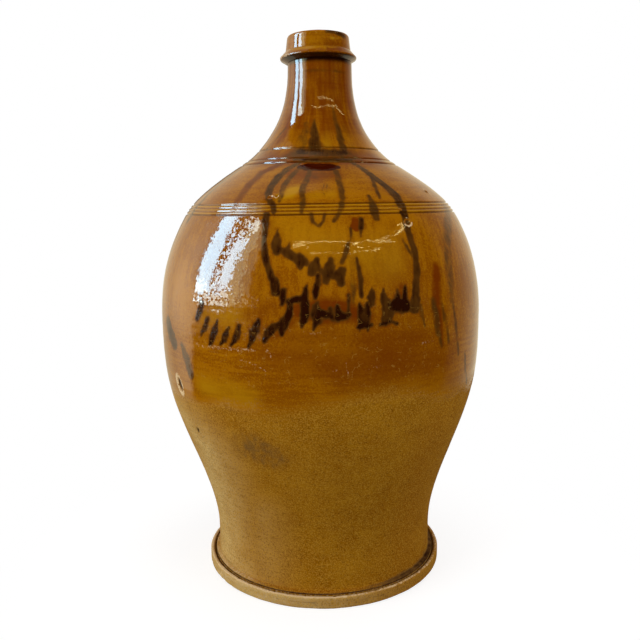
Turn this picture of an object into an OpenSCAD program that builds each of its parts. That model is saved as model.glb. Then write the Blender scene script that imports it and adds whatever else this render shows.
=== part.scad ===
// Large hand-thrown bottle of glazed earthenware, built from thrown sections luted together.
// The axis of the bottle is +Z and the underside of the foot is at Z = 0. Sizes are in millimetres.

/* [Foot] */
// Diameter of the floor disc, which the wall stands on
floor_d = 190.4; // [180:0.2:210]
// Thickness of the floor disc
floor_t = 9; // [8:0.5:16]
// Height of the foot ring
foot_h = 9.4; // [7:0.1:14]
// Width of the rim of the foot ring
rim_w = 3.4; // [2.4:0.1:8]
// Width of the gutter between the rim and the wall
gutter_w = 1.4; // [0.6:0.1:4]
// Depth of the gutter
gutter_h = 2.2; // [1:0.1:4]
// Radius of the rounded edges of the foot ring
foot_round = 1.6; // [0.6:0.1:2.4]

/* [Lower wall] */
// Height of the waist above the floor disc
waist_rise = 21.6; // [14:0.2:40]
// Diameter of the waist, the narrowest part of the wall
waist_d = 183.5; // [170:0.5:189]
// Height from the waist to the seam at the hip
hip_rise = 137.4; // [110:0.2:170]
// Diameter at the hip seam
hip_d = 257.8; // [230:0.2:261]

/* [Upper wall] */
// Height from the hip seam to the widest part of the belly
belly_rise = 45; // [30:0.5:70]
// Diameter of the belly, the widest part
belly_d = 262.2; // [258:0.2:300]
// Height from the belly to the seam at the foot of the shoulder
shoulder_rise = 84; // [70:0.5:110]
// Diameter at the shoulder seam
shoulder_d = 217.6; // [190:0.2:240]

/* [Shoulder] */
// Height from the shoulder seam to the seam at the root of the neck
root_rise = 37.5; // [28:0.5:50]
// Diameter at the root of the neck
root_d = 127; // [105:0.5:150]
// Number of grooves turned in the shoulder band
shoulder_grooves = 4; // [2:1:6]
// Distance between the grooves of the shoulder band
shoulder_pitch = 2.4; // [2:0.1:4]

/* [Neck] */
// Height of the flared foot of the neck
flare_rise = 11.5; // [9:0.5:18]
// Diameter at the top of the flared foot of the neck
flare_d = 98.6; // [80:0.2:104]
// Height from the flared foot to the underside of the collar
neck_rise = 69; // [50:0.5:90]
// Outer diameter of the neck under the collar ring
neck_d = 51.2; // [46:0.2:60]
// Diameter of the straight bore of the mouth
bore_d = 32; // [24:0.5:36]
// Length of the straight bore, down from the top of the lip
bore_l = 42; // [30:1:60]

/* [Collar and lip] */
// Height of the collar ring where it clasps the neck
collar_h = 9; // [6:0.1:14]
// Distance that the collar ring stands out from the neck
collar_reach = 5; // [3:0.1:10]
// Height of the middle of the collar's edge above its underside
collar_edge_rise = 3.6; // [2.2:0.1:4]
// Radius of the rounded edge of the collar
collar_round = 1.4; // [0.6:0.1:1.8]
// Depth of the seat that the collar is set into the neck
collar_seat = 0.8; // [0.4:0.1:1.5]
// Height of the lip above the collar
lip_h = 12; // [8:0.5:18]
// Distance that the base of the lip stands out from the neck
lip_step = 0.4; // [0:0.1:2]
// Distance that the side of the lip draws in towards its top
lip_taper = 1.2; // [0:0.1:2.5]
// Radius of the rounded outer edge of the lip
lip_round = 3.6; // [1.5:0.1:4]
// Radius of the rounded inner edge of the lip
mouth_round = 2.6; // [1:0.1:3]

/* [Walls and joints] */
// Thickness of the thrown walls, square to the surface
wall_t = 8; // [6:0.5:10]
// Depth of a turned groove
groove_depth = 0.8; // [0.3:0.1:1.2]
// Width of a turned groove
groove_w = 1.6; // [1:0.1:2]
// Height of the tongue that keys one section into the next
tongue_h = 3; // [2:0.5:5]
// Width of the tongue at its base
tongue_w = 3; // [2:0.5:4]
// Thickness of the slip that fills the joint around a tongue
lute_gap = 0.2; // [0.1:0.05:0.4]

/* [Hidden] */
$fn = 96;

glaze_amber = "#8f5c0c";
glaze_brown = "#7d480a";
bare_clay = "#977230";
worn_clay = "#a9854a";

// Radii of the pieces at the foot and at the mouth
floor_r = floor_d / 2;
gutter_r = floor_r + gutter_w;
foot_r = gutter_r + rim_w;
neck_r = neck_d / 2;
bore_r = bore_d / 2;
collar_seat_r = neck_r - collar_seat;
lip_base_r = neck_r + lip_step;
lip_top_r = lip_base_r - lip_taper;

// Angle that the collar's edge is rounded through, up and down from level
collar_edge_angle = 60;

// Rounded edges, limited by the clay that they round
rim_round = min(foot_round, rim_w / 2);
lip_wall = lip_top_r - bore_r;
lip_out_round = min(lip_round, lip_wall * lip_round / (lip_round + mouth_round));
lip_in_round = min(mouth_round, lip_wall - lip_out_round);

// Heights of the stations, counted up from the floor
waist_z = floor_t + waist_rise;
hip_z = waist_z + hip_rise;
belly_z = hip_z + belly_rise;
shoulder_z = belly_z + shoulder_rise;
root_z = shoulder_z + root_rise;
flare_z = root_z + flare_rise;
collar_z = flare_z + neck_rise;
rim_z = collar_z + collar_h;
top_z = rim_z + lip_h;
bore_z = top_z - bore_l;

// Lean of the wall at each station: change of radius for each unit of height
seat_lean = -0.3;
hip_lean = 0.14;
shoulder_lean = -0.62;
root_lean = -1.6;
flare_lean = -0.92;

// Stations of the outer wall: height, radius and lean
OUTER = [
    [floor_t, floor_r, seat_lean],
    [waist_z, waist_d / 2, 0],
    [hip_z, hip_d / 2, hip_lean],
    [belly_z, belly_d / 2, 0],
    [shoulder_z, shoulder_d / 2, shoulder_lean],
    [root_z, root_d / 2, root_lean],
    [flare_z, flare_d / 2, flare_lean],
    [collar_z, neck_r, 0]
];

// Stations of the inner wall: the outer ones less the wall's thickness, up to the straight bore
INNER = concat(
    [for (s = [for (i = [0 : len(OUTER) - 2]) OUTER[i]])
        [s[0], s[1] - wall_t * sqrt(1 + s[2] * s[2]), s[2]]],
    [[bore_z, bore_r, 0]]
);

// Heights of the grooves: the shoulder band climbs from its seam, the neck band has three rings
shoulder_band = [for (i = [0 : shoulder_grooves - 1]) shoulder_z + i * shoulder_pitch];
neck_band = [root_z, root_z + 2 * groove_w, flare_z];
GROOVES = concat(shoulder_band, neck_band);

// Samples along a section of wall, points in a rounded corner, and the least step between heights
wall_steps = 28;
groove_steps = 4;
corner_steps = 8;
same_z = 0.001;

// Number of the stretch between two stations that holds height z
function stretch(stations, z, i = 0) =
    i >= len(stations) - 2 || z <= stations[i + 1][0] ? i : stretch(stations, z, i + 1);

// Cubic curve from station a to station b at height z
function cubic(a, b, z) =
    let (h = b[0] - a[0], t = (z - a[0]) / h)
    (2 * t ^ 3 - 3 * t ^ 2 + 1) * a[1] + (t ^ 3 - 2 * t ^ 2 + t) * h * a[2]
    + (3 * t ^ 2 - 2 * t ^ 3) * b[1] + (t ^ 3 - t ^ 2) * h * b[2];

// Radius of a wall at height z; above its last station it runs straight up
function wall_r(stations, z) =
    let (i = stretch(stations, z), last = stations[len(stations) - 1])
    z >= last[0] ? last[1] : cubic(stations[i], stations[i + 1], z);

// Depth that the turned grooves take off the outer wall at height z
function groove_cut(z) =
    groove_depth * max([for (g = GROOVES) max(0, 1 - abs(z - g) / (groove_w / 2))]);

function outer_r(z) = wall_r(OUTER, z) - groove_cut(z);
function inner_r(z) = wall_r(INNER, z);
function middle_r(z) = (wall_r(OUTER, z) + inner_r(z)) / 2;

// Heights sampled between two levels, with the flanks and bottoms of the grooves among them
function even_heights(low, high) = [for (i = [0 : wall_steps]) low + (high - low) * i / wall_steps];
function groove_heights(low, high) = [
    for (g = GROOVES, k = [-groove_steps : groove_steps])
        let (z = g + k * groove_w / 2 / groove_steps)
        if (z > low && z < high) z
];
function clear_of_grooves(z) = min([for (g = GROOVES) abs(z - g)]) > groove_w / 2;
function heights(low, high) = sorted(concat(
    [low],
    [for (z = even_heights(low, high)) if (z > low && z < high && clear_of_grooves(z)) z],
    groove_heights(low, high),
    [high]
));

// List in rising order, without repeats
function sorted(list) =
    len(list) <= 1 ? list :
    let (pivot = list[floor(len(list) / 2)])
    concat(
        sorted([for (v = list) if (v < pivot - same_z) v]),
        [pivot],
        sorted([for (v = list) if (v > pivot + same_z) v])
    );

// Points of a rounded corner about centre c, from angle a to angle b
function corner(c, radius, a, b) = [
    for (i = [0 : corner_steps])
        let (angle = a + (b - a) * i / corner_steps)
        c + radius * [cos(angle), sin(angle)]
];

// Points of a tongue that hangs below height z, from the inside to the outside
function tongue(z) =
    let (r = middle_r(z))
    [[r - tongue_w / 2, z], [r, z - tongue_h], [r + tongue_w / 2, z]];

// Points of the groove that takes that tongue, with room for the slip, from the outside to the inside
function socket(z) =
    let (r = middle_r(z))
    [[r + tongue_w / 2 + lute_gap, z], [r, z - tongue_h - lute_gap], [r - tongue_w / 2 - lute_gap, z]];

// Section of thrown wall between two seams: a tongue below, a socket above
module thrown_section(low, high, outer_top) {
    outside = concat(
        [for (z = heights(low, min(high, collar_z))) [outer_r(z), z]],
        outer_top
    );
    inside = [for (z = [for (z = sorted(concat(even_heights(low, high), [bore_z]))) if (z <= high) z])
        [inner_r(z), z]];
    count = len(inside);
    rotate_extrude()
        polygon(concat(
            tongue(low),
            outside,
            socket(high),
            [for (i = [0 : count - 1]) inside[count - 1 - i]]
        ));
}

// Flat disc that closes the bottom, with the socket for the wall
module floor_disc() {
    color(worn_clay)
        rotate_extrude()
            polygon(concat(
                [[0, 0], [floor_r, 0], [floor_r, floor_t]],
                socket(floor_t),
                [[0, floor_t]]
            ));
}

// Ring of clay set round the floor disc: a rim with rounded edges, and a gutter inside it
module foot_ring() {
    color(worn_clay)
        rotate_extrude()
            polygon(concat(
                [[floor_r, 0]],
                corner([foot_r - rim_round, rim_round], rim_round, -90, 0),
                corner([foot_r - rim_round, foot_h - rim_round], rim_round, 0, 90),
                corner([gutter_r + rim_round, foot_h - rim_round], rim_round, 90, 180),
                [[floor_r, foot_h - gutter_h]]
            ));
}

// Lower thrown section, from the floor to the hip
module lower_wall() {
    color(bare_clay)
        thrown_section(floor_t, hip_z, []);
}

// Upper thrown section, from the hip over the belly to the shoulder
module upper_wall() {
    color(glaze_amber)
        thrown_section(hip_z, shoulder_z, []);
}

// Shoulder, from its grooved band up to the root of the neck
module shoulder() {
    color(glaze_amber)
        thrown_section(shoulder_z, root_z, []);
}

// Neck, from its grooved root up through the seat of the collar
module neck() {
    color(glaze_brown)
        thrown_section(root_z, rim_z, [[collar_seat_r, collar_z], [collar_seat_r, rim_z]]);
}

// Ring of clay clasped round the neck under the lip, to hold the string of a stopper
module collar_ring() {
    edge_c = [neck_r + collar_reach - collar_round, collar_z + collar_edge_rise];
    color(glaze_brown)
        rotate_extrude()
            polygon(concat(
                [[collar_seat_r, collar_z], [neck_r, collar_z]],
                corner(edge_c, collar_round, -collar_edge_angle, collar_edge_angle),
                [[lip_base_r, rim_z], [collar_seat_r, rim_z]]
            ));
}

// Lip round the mouth, standing on the neck
module lip() {
    color(glaze_amber)
        rotate_extrude()
            polygon(concat(
                [[bore_r, rim_z]],
                tongue(rim_z),
                [[lip_base_r, rim_z]],
                corner([lip_top_r - lip_out_round, top_z - lip_out_round], lip_out_round, 0, 90),
                corner([bore_r + lip_in_round, top_z - lip_in_round], lip_in_round, 90, 180)
            ));
}

floor_disc();
foot_ring();
lower_wall();
upper_wall();
shoulder();
neck();
collar_ring();
lip();
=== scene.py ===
"""Large hand-thrown bottle of glazed earthenware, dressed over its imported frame.

Every piece is a surface turned about the +Z axis, worked out in metres on a grid of azimuth and profile.
Azimuth is 0 at the front of the bottle (-Y) and grows towards +X.
"""

import logging
from dataclasses import dataclass, field
from enum import Enum, IntEnum
from functools import lru_cache, partial, reduce
from itertools import product
from math import cos, pi, radians, sin, tau

import bpy
import numpy as np
from mathutils import Matrix, Vector
from numpy.typing import NDArray


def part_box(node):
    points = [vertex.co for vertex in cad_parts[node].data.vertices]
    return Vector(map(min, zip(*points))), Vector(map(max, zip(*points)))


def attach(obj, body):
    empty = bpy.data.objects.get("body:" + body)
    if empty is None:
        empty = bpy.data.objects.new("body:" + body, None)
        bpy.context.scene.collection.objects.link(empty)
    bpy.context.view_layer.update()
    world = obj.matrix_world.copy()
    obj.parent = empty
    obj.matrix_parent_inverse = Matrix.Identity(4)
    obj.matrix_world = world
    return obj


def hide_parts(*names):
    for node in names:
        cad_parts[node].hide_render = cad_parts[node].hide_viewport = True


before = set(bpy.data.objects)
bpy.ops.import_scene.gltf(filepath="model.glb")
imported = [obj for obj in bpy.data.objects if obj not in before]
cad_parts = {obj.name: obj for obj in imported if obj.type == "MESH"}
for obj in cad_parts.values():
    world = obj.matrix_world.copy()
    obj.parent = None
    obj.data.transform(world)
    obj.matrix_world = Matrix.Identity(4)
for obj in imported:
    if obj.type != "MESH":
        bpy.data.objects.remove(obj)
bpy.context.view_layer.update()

Array = NDArray[np.float64]
Colour = tuple[float, float, float]
PhotoPath = tuple[tuple[float, float, float], ...]

LOG = logging.getLogger("bottle")
MM = 0.001
PHOTO_PIXELS = 640
LATTICE_CELLS = 32
CURVE_SAMPLES = 2001
BLACK: Colour = (0.0, 0.0, 0.0)
WHITE: Colour = (1.0, 1.0, 1.0)


class Slot(Enum):
    """Material slots of the record."""

    AMBER_GLAZE = "amber_glaze"
    BROWN_GLAZE = "brown_glaze"
    BARE_CLAY = "bare_clay"
    WORN_CLAY = "worn_clay"


class Pigment(Enum):
    """What a brush stroke, a wash or wear leaves in the glaze, and painted shade and light laid the same
    way.
    """

    MANGANESE_AND_SHADE = "manganese"
    IRON = "iron"
    OCHRE_AND_LIGHT = "ochre_and_light"
    REFLECTION = "pool_and_reflection"
    COARSE = "coarse"
    SCUFF_AND_LIGHT = "scuff"


class Seed(IntEnum):
    """Numbers that pick the random values of each noise. The rings of the mouth also use the next three."""

    RINGS = 3
    WIDE_RINGS = 4
    LUMPS = 5
    FINE_LUMPS = 6
    LONG_FRAY = 11
    EVEN_FRAY = 12
    POOLS = 13
    SCARS = 14
    CORNER = 15
    UNDERSIDE = 21
    DENTS = 22
    FINE_DENTS = 23
    PITS = 24
    FINE_PITS = 25
    RUBBED = 26
    COLLAR = 31
    LIP = 35
    BACK = 41


def smooth_step(value: Array, low: float, high: float) -> Array:
    """Ease value from 0 at low to 1 at high, with level ends."""
    t = np.clip((value - low) / (high - low), 0.0, 1.0)
    return t * t * (3.0 - 2.0 * t)


def bell(value: Array, spread: float) -> Array:
    """Bell curve: 1 at 0, falling away on both sides over the spread."""
    return np.exp(-((value / spread) ** 2))


def turned_by(azimuth: Array, start: float) -> Array:
    """Turn from a start to an azimuth, from minus half a turn to plus half a turn."""
    return (azimuth - start + pi) % tau - pi


def top_of(node: str) -> float:
    """Height of the top of a node of the frame, in metres."""
    return float(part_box(node)[1].z)


@lru_cache(maxsize=None)
def lattice(seed: int) -> Array:
    """Random values from -1 to 1 on a cube of lattice corners."""
    return np.random.default_rng(int(seed)).uniform(-1.0, 1.0, (LATTICE_CELLS,) * 3)


def lattice_noise(points: Array, wavelength: float, seed: int) -> Array:
    """Smooth noise in space.

    Random values sit at the corners of a cubic lattice that repeats, and each point blends the values at the
    8 corners round it by a smooth step along each axis.

    Args:
        points: Places in metres, with x, y and z along the last axis.
        wavelength: Edge of a lattice cell in metres.
        seed: Number that picks the random values.
    Returns:
        Values from -1 to 1, one for each point.
    """
    cells = points / wavelength
    base = np.floor(cells).astype(int)
    t = cells - base
    t = t * t * (3.0 - 2.0 * t)
    values = lattice(seed)
    total = np.zeros(points.shape[:-1])
    for corner in product((0, 1), repeat=3):
        weight = np.prod(np.where(np.array(corner) == 1, t, 1.0 - t), axis=-1)
        x, y, z = np.moveaxis((base + np.array(corner)) % LATTICE_CELLS, -1, 0)
        total += weight * values[x, y, z]
    return total


def turned_points(azimuth: Array, radius: Array, height: Array) -> Array:
    """Points at an azimuth, a radius and a height: x = r sin a, y = -r cos a."""
    azimuth, radius, height = np.broadcast_arrays(azimuth, radius, height)
    return np.stack((radius * np.sin(azimuth), -radius * np.cos(azimuth), height), axis=-1)


@dataclass(frozen=True)
class Station:
    """Station of a wall: its height, its radius and its lean, the change of radius with height."""

    height: float
    radius: float
    lean: float


@dataclass(frozen=True)
class WallCurve:
    """Profile of a thrown wall through its stations."""

    stations: tuple[Station, ...]

    def radius(self, height: Array) -> Array:
        """Give the radius of the wall.

        Between two stations it is the cubic that keeps both radii and both leans. Above the last station the
        wall runs straight up.

        Args:
            height: Heights in metres.
        Returns:
            Radii in metres, in the shape of the heights.
        """
        rows = np.array([(s.height, s.radius, s.lean) for s in self.stations])
        below = np.clip(np.searchsorted(rows[:, 0], height, side="right") - 1, 0, len(rows) - 2)
        z0, r0, m0 = np.moveaxis(rows[below], -1, 0)
        z1, r1, m1 = np.moveaxis(rows[below + 1], -1, 0)
        h = z1 - z0
        t = np.clip((height - z0) / h, 0.0, 1.0)
        return (
            (2 * t**3 - 3 * t**2 + 1) * r0
            + (t**3 - 2 * t**2 + t) * h * m0
            + (3 * t**2 - 2 * t**3) * r1
            + (t**3 - t**2) * h * m1
        )

    def lean(self, height: Array) -> Array:
        """Change of radius with height, from the radii a hair above and below."""
        hair = 0.05 * MM
        return (self.radius(height + hair) - self.radius(height - hair)) / (2.0 * hair)


def length_along(wall: WallCurve, heights: Array) -> Array:
    """Length along a wall from the first of some heights to each of them."""
    steps = np.hypot(np.diff(heights), np.diff(wall.radius(heights)))
    return np.concatenate(((0.0,), np.cumsum(steps)))


@dataclass(frozen=True)
class BottleForm:
    """Sizes that the thrown walls share, in metres. The heights of the seams come from the frame."""

    floor_r: float = 0.0952
    waist_r: float = 0.09175
    hip_r: float = 0.1289
    belly_r: float = 0.1311
    shoulder_r: float = 0.1088
    root_r: float = 0.0635
    flare_r: float = 0.0493
    neck_r: float = 0.0256
    bore_r: float = 0.016
    wall_t: float = 0.008
    waist_rise: float = 0.0216
    belly_rise: float = 0.045
    flare_rise: float = 0.0115
    bore_l: float = 0.042
    ledge_h: float = 0.0029
    groove_depth: float = 0.0008
    groove_w: float = 0.0016
    ridge_reach: float = 0.75
    shoulder_grooves: int = 4
    shoulder_pitch: float = 0.0024
    groove_shares: tuple[float, ...] = (1.0, 0.55, 0.55, 1.0, 1.0, 0.8, 1.0)
    tongue_h: float = 0.003
    tongue_w: float = 0.003
    lute_gap: float = 0.0002
    floor_z: float = field(default_factory=lambda: top_of("floor_disc"))
    hip_z: float = field(default_factory=lambda: top_of("lower_wall"))
    shoulder_z: float = field(default_factory=lambda: top_of("upper_wall"))
    root_z: float = field(default_factory=lambda: top_of("shoulder"))
    rim_z: float = field(default_factory=lambda: top_of("neck"))
    collar_z: float = field(default_factory=lambda: float(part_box("collar_ring")[0].z))
    top_z: float = field(default_factory=lambda: top_of("lip"))

    @property
    def flare_z(self) -> float:
        """Height of the top of the neck's flared foot."""
        return self.root_z + self.flare_rise

    @property
    def bore_z(self) -> float:
        """Height at which the straight bore of the mouth begins."""
        return self.top_z - self.bore_l

    @property
    def outer(self) -> WallCurve:
        """Curve of the outer wall from the floor to the collar.

        Returns:
            The curve through the stations that the photograph's outline gives.
        """
        return WallCurve((
            Station(self.floor_z, self.floor_r, -0.3),
            Station(self.floor_z + self.waist_rise, self.waist_r, 0.0),
            Station(self.hip_z, self.hip_r, 0.14),
            Station(self.hip_z + self.belly_rise, self.belly_r, 0.0),
            Station(self.shoulder_z, self.shoulder_r, -0.62),
            Station(self.root_z, self.root_r, -1.6),
            Station(self.flare_z, self.flare_r, -0.92),
            Station(self.collar_z, self.neck_r, 0.0),
        ))

    @property
    def inner(self) -> WallCurve:
        """Curve of the inner wall, up to the straight bore.

        Returns:
            The curve through the outer stations, each moved in by the wall's thickness square to the wall.
        """
        inset = tuple(
            Station(s.height, s.radius - self.wall_t * (1.0 + s.lean**2) ** 0.5, s.lean)
            for s in self.outer.stations[:-1]
        )
        return WallCurve(inset + (Station(self.bore_z, self.bore_r, 0.0),))

    @property
    def grooves(self) -> Array:
        """Heights of the turned grooves: the shoulder band, then the three rings at the root of the neck."""
        band = self.shoulder_z + self.shoulder_pitch * np.arange(self.shoulder_grooves)
        return np.append(band, (self.root_z, self.root_z + 2 * self.groove_w, self.flare_z))

    def middle_r(self, height: float) -> float:
        """Radius of the middle of the wall at a height."""
        z = np.array(height)
        return float(self.outer.radius(z) + self.inner.radius(z)) / 2.0

    def wedge(self, height: float, room: float) -> Array:
        """Section of the V that keys two walls together, from the inside to the outside.

        Args:
            height: Height of the seam in metres.
            room: Room that is left all round the tongue, in metres.
        Returns:
            Radius and height of its three points.
        """
        r = self.middle_r(height)
        half = self.tongue_w / 2 + room
        return np.array(((r - half, height), (r, height - self.tongue_h - room), (r + half, height)))

    def tongue(self, height: float) -> Array:
        """Section of the tongue that hangs below a seam, from the inside to the outside."""
        return self.wedge(height, 0.0)

    def socket(self, height: float) -> Array:
        """Section of the groove that takes the tongue, from the outside to the inside."""
        return self.wedge(height, self.lute_gap)[::-1]

    def rows(self, low: float, high: float, step: float) -> Array:
        """Heights of the rows of an outer wall.

        Even steps from low to high, with eighths of each groove's width among them, out to its ridges.

        Args:
            low: Lowest height in metres.
            high: Highest height in metres.
            step: Distance along the wall between two rows, in metres.
        Returns:
            Heights in rising order, without near repeats.
        """
        fine = np.linspace(low, high, CURVE_SAMPLES)
        along = length_along(self.outer, fine)
        even = np.interp(np.linspace(0.0, along[-1], round(along[-1] / step) + 1), along, fine)
        reach = self.ridge_reach
        flanks = (self.grooves[:, None] + self.groove_w * np.linspace(-reach, reach, 13)).ravel()
        flanks = np.concatenate((flanks, self.floor_z + self.ledge_h * np.linspace(0.1, 1.6, 16)))
        flanks = flanks[(flanks > low) & (flanks < high)]
        clear = np.abs(even[:, None] - self.grooves).min(axis=1) > reach * self.groove_w
        clear[[0, -1]] = True
        rows = np.unique(np.concatenate((even[clear], flanks)))
        keep = np.append(np.diff(rows) > 0.02 * MM, True)
        keep[0] = True
        return rows[keep]


@dataclass(frozen=True)
class PhotoView:
    """Camera of the photograph: its place in metres, its tilts in degrees and its focal length in pixels."""

    place: tuple[float, float, float] = (-0.0012, -0.595, 0.3035)
    pitch: float = 80.73
    roll: float = -0.70
    focal: float = 708.0
    sensor: float = 36.0
    nearest: float = 0.40
    farthest: float = 0.75
    samples: int = 3501

    @property
    def turn(self) -> Matrix:
        """Rotation of the camera: tipped up from straight down, then rolled about its own line of sight."""
        return Matrix.Rotation(radians(self.pitch), 4, "X") @ Matrix.Rotation(radians(self.roll), 4, "Z")

    def land(self, pixels: Array, wall: WallCurve) -> tuple[Array, Array]:
        """Find where the rays through some pixels meet a wall.

        Each ray is sampled at many distances, and the first sample inside the wall is taken, or the one that
        comes closest to it.

        Args:
            pixels: Pixel x and y along the last axis.
            wall: Wall that the rays meet.
        Returns:
            Azimuths in radians and heights in metres.
        """
        middle = PHOTO_PIXELS / 2
        local = np.column_stack((
            (pixels[:, 0] - middle) / self.focal,
            (middle - pixels[:, 1]) / self.focal,
            -np.ones(len(pixels)),
        ))
        rays = local @ np.array(self.turn.to_3x3()).T
        far = np.linspace(self.nearest, self.farthest, self.samples)
        points = np.array(self.place) + far[:, None] * rays[:, None, :]
        gap = np.hypot(points[..., 0], points[..., 1]) - wall.radius(points[..., 2])
        first = np.where((gap < 0).any(axis=1), (gap < 0).argmax(axis=1), gap.argmin(axis=1))
        x, y, z = points[np.arange(len(pixels)), first].T
        return np.arctan2(x, -y), z

    def make_camera(self) -> None:
        """Make the scene's camera at the photograph's viewpoint."""
        data = bpy.data.cameras.new("photo_camera")
        data.sensor_width = self.sensor
        data.lens = self.focal * self.sensor / PHOTO_PIXELS
        data.clip_start = 0.01
        camera = bpy.data.objects.new("photo_camera", data)
        camera.matrix_world = Matrix.Translation(self.place) @ self.turn
        bpy.context.collection.objects.link(camera)
        bpy.context.scene.camera = camera


@dataclass(frozen=True)
class Stroke:
    """Brush stroke, drip or wash along a line on the wall.

    Each point of the line has an azimuth in radians, a height in metres and a width in metres.
    """

    pigment: Pigment
    points: Array
    strength: float
    soft: float
    fray: float = 1.0


@dataclass(frozen=True)
class PhotoStroke:
    """Stroke given by pixels of the photograph: each point has x, y and a width in millimetres."""

    pigment: Pigment
    path: PhotoPath
    strength: float
    soft: float
    fray: float = 1.0

    def landed(self, view: PhotoView, wall: WallCurve) -> Stroke:
        """Carry the stroke from the photograph to the wall.

        Args:
            view: Camera that the pixels belong to.
            wall: Wall that takes the stroke.
        Returns:
            The stroke in azimuth, height and metres.
        """
        path = np.array(self.path)
        azimuth, height = view.land(path[:, :2], wall)
        points = np.column_stack((azimuth, height, path[:, 2] * MM))
        return Stroke(self.pigment, points, self.strength, self.soft * MM, self.fray)


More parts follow.
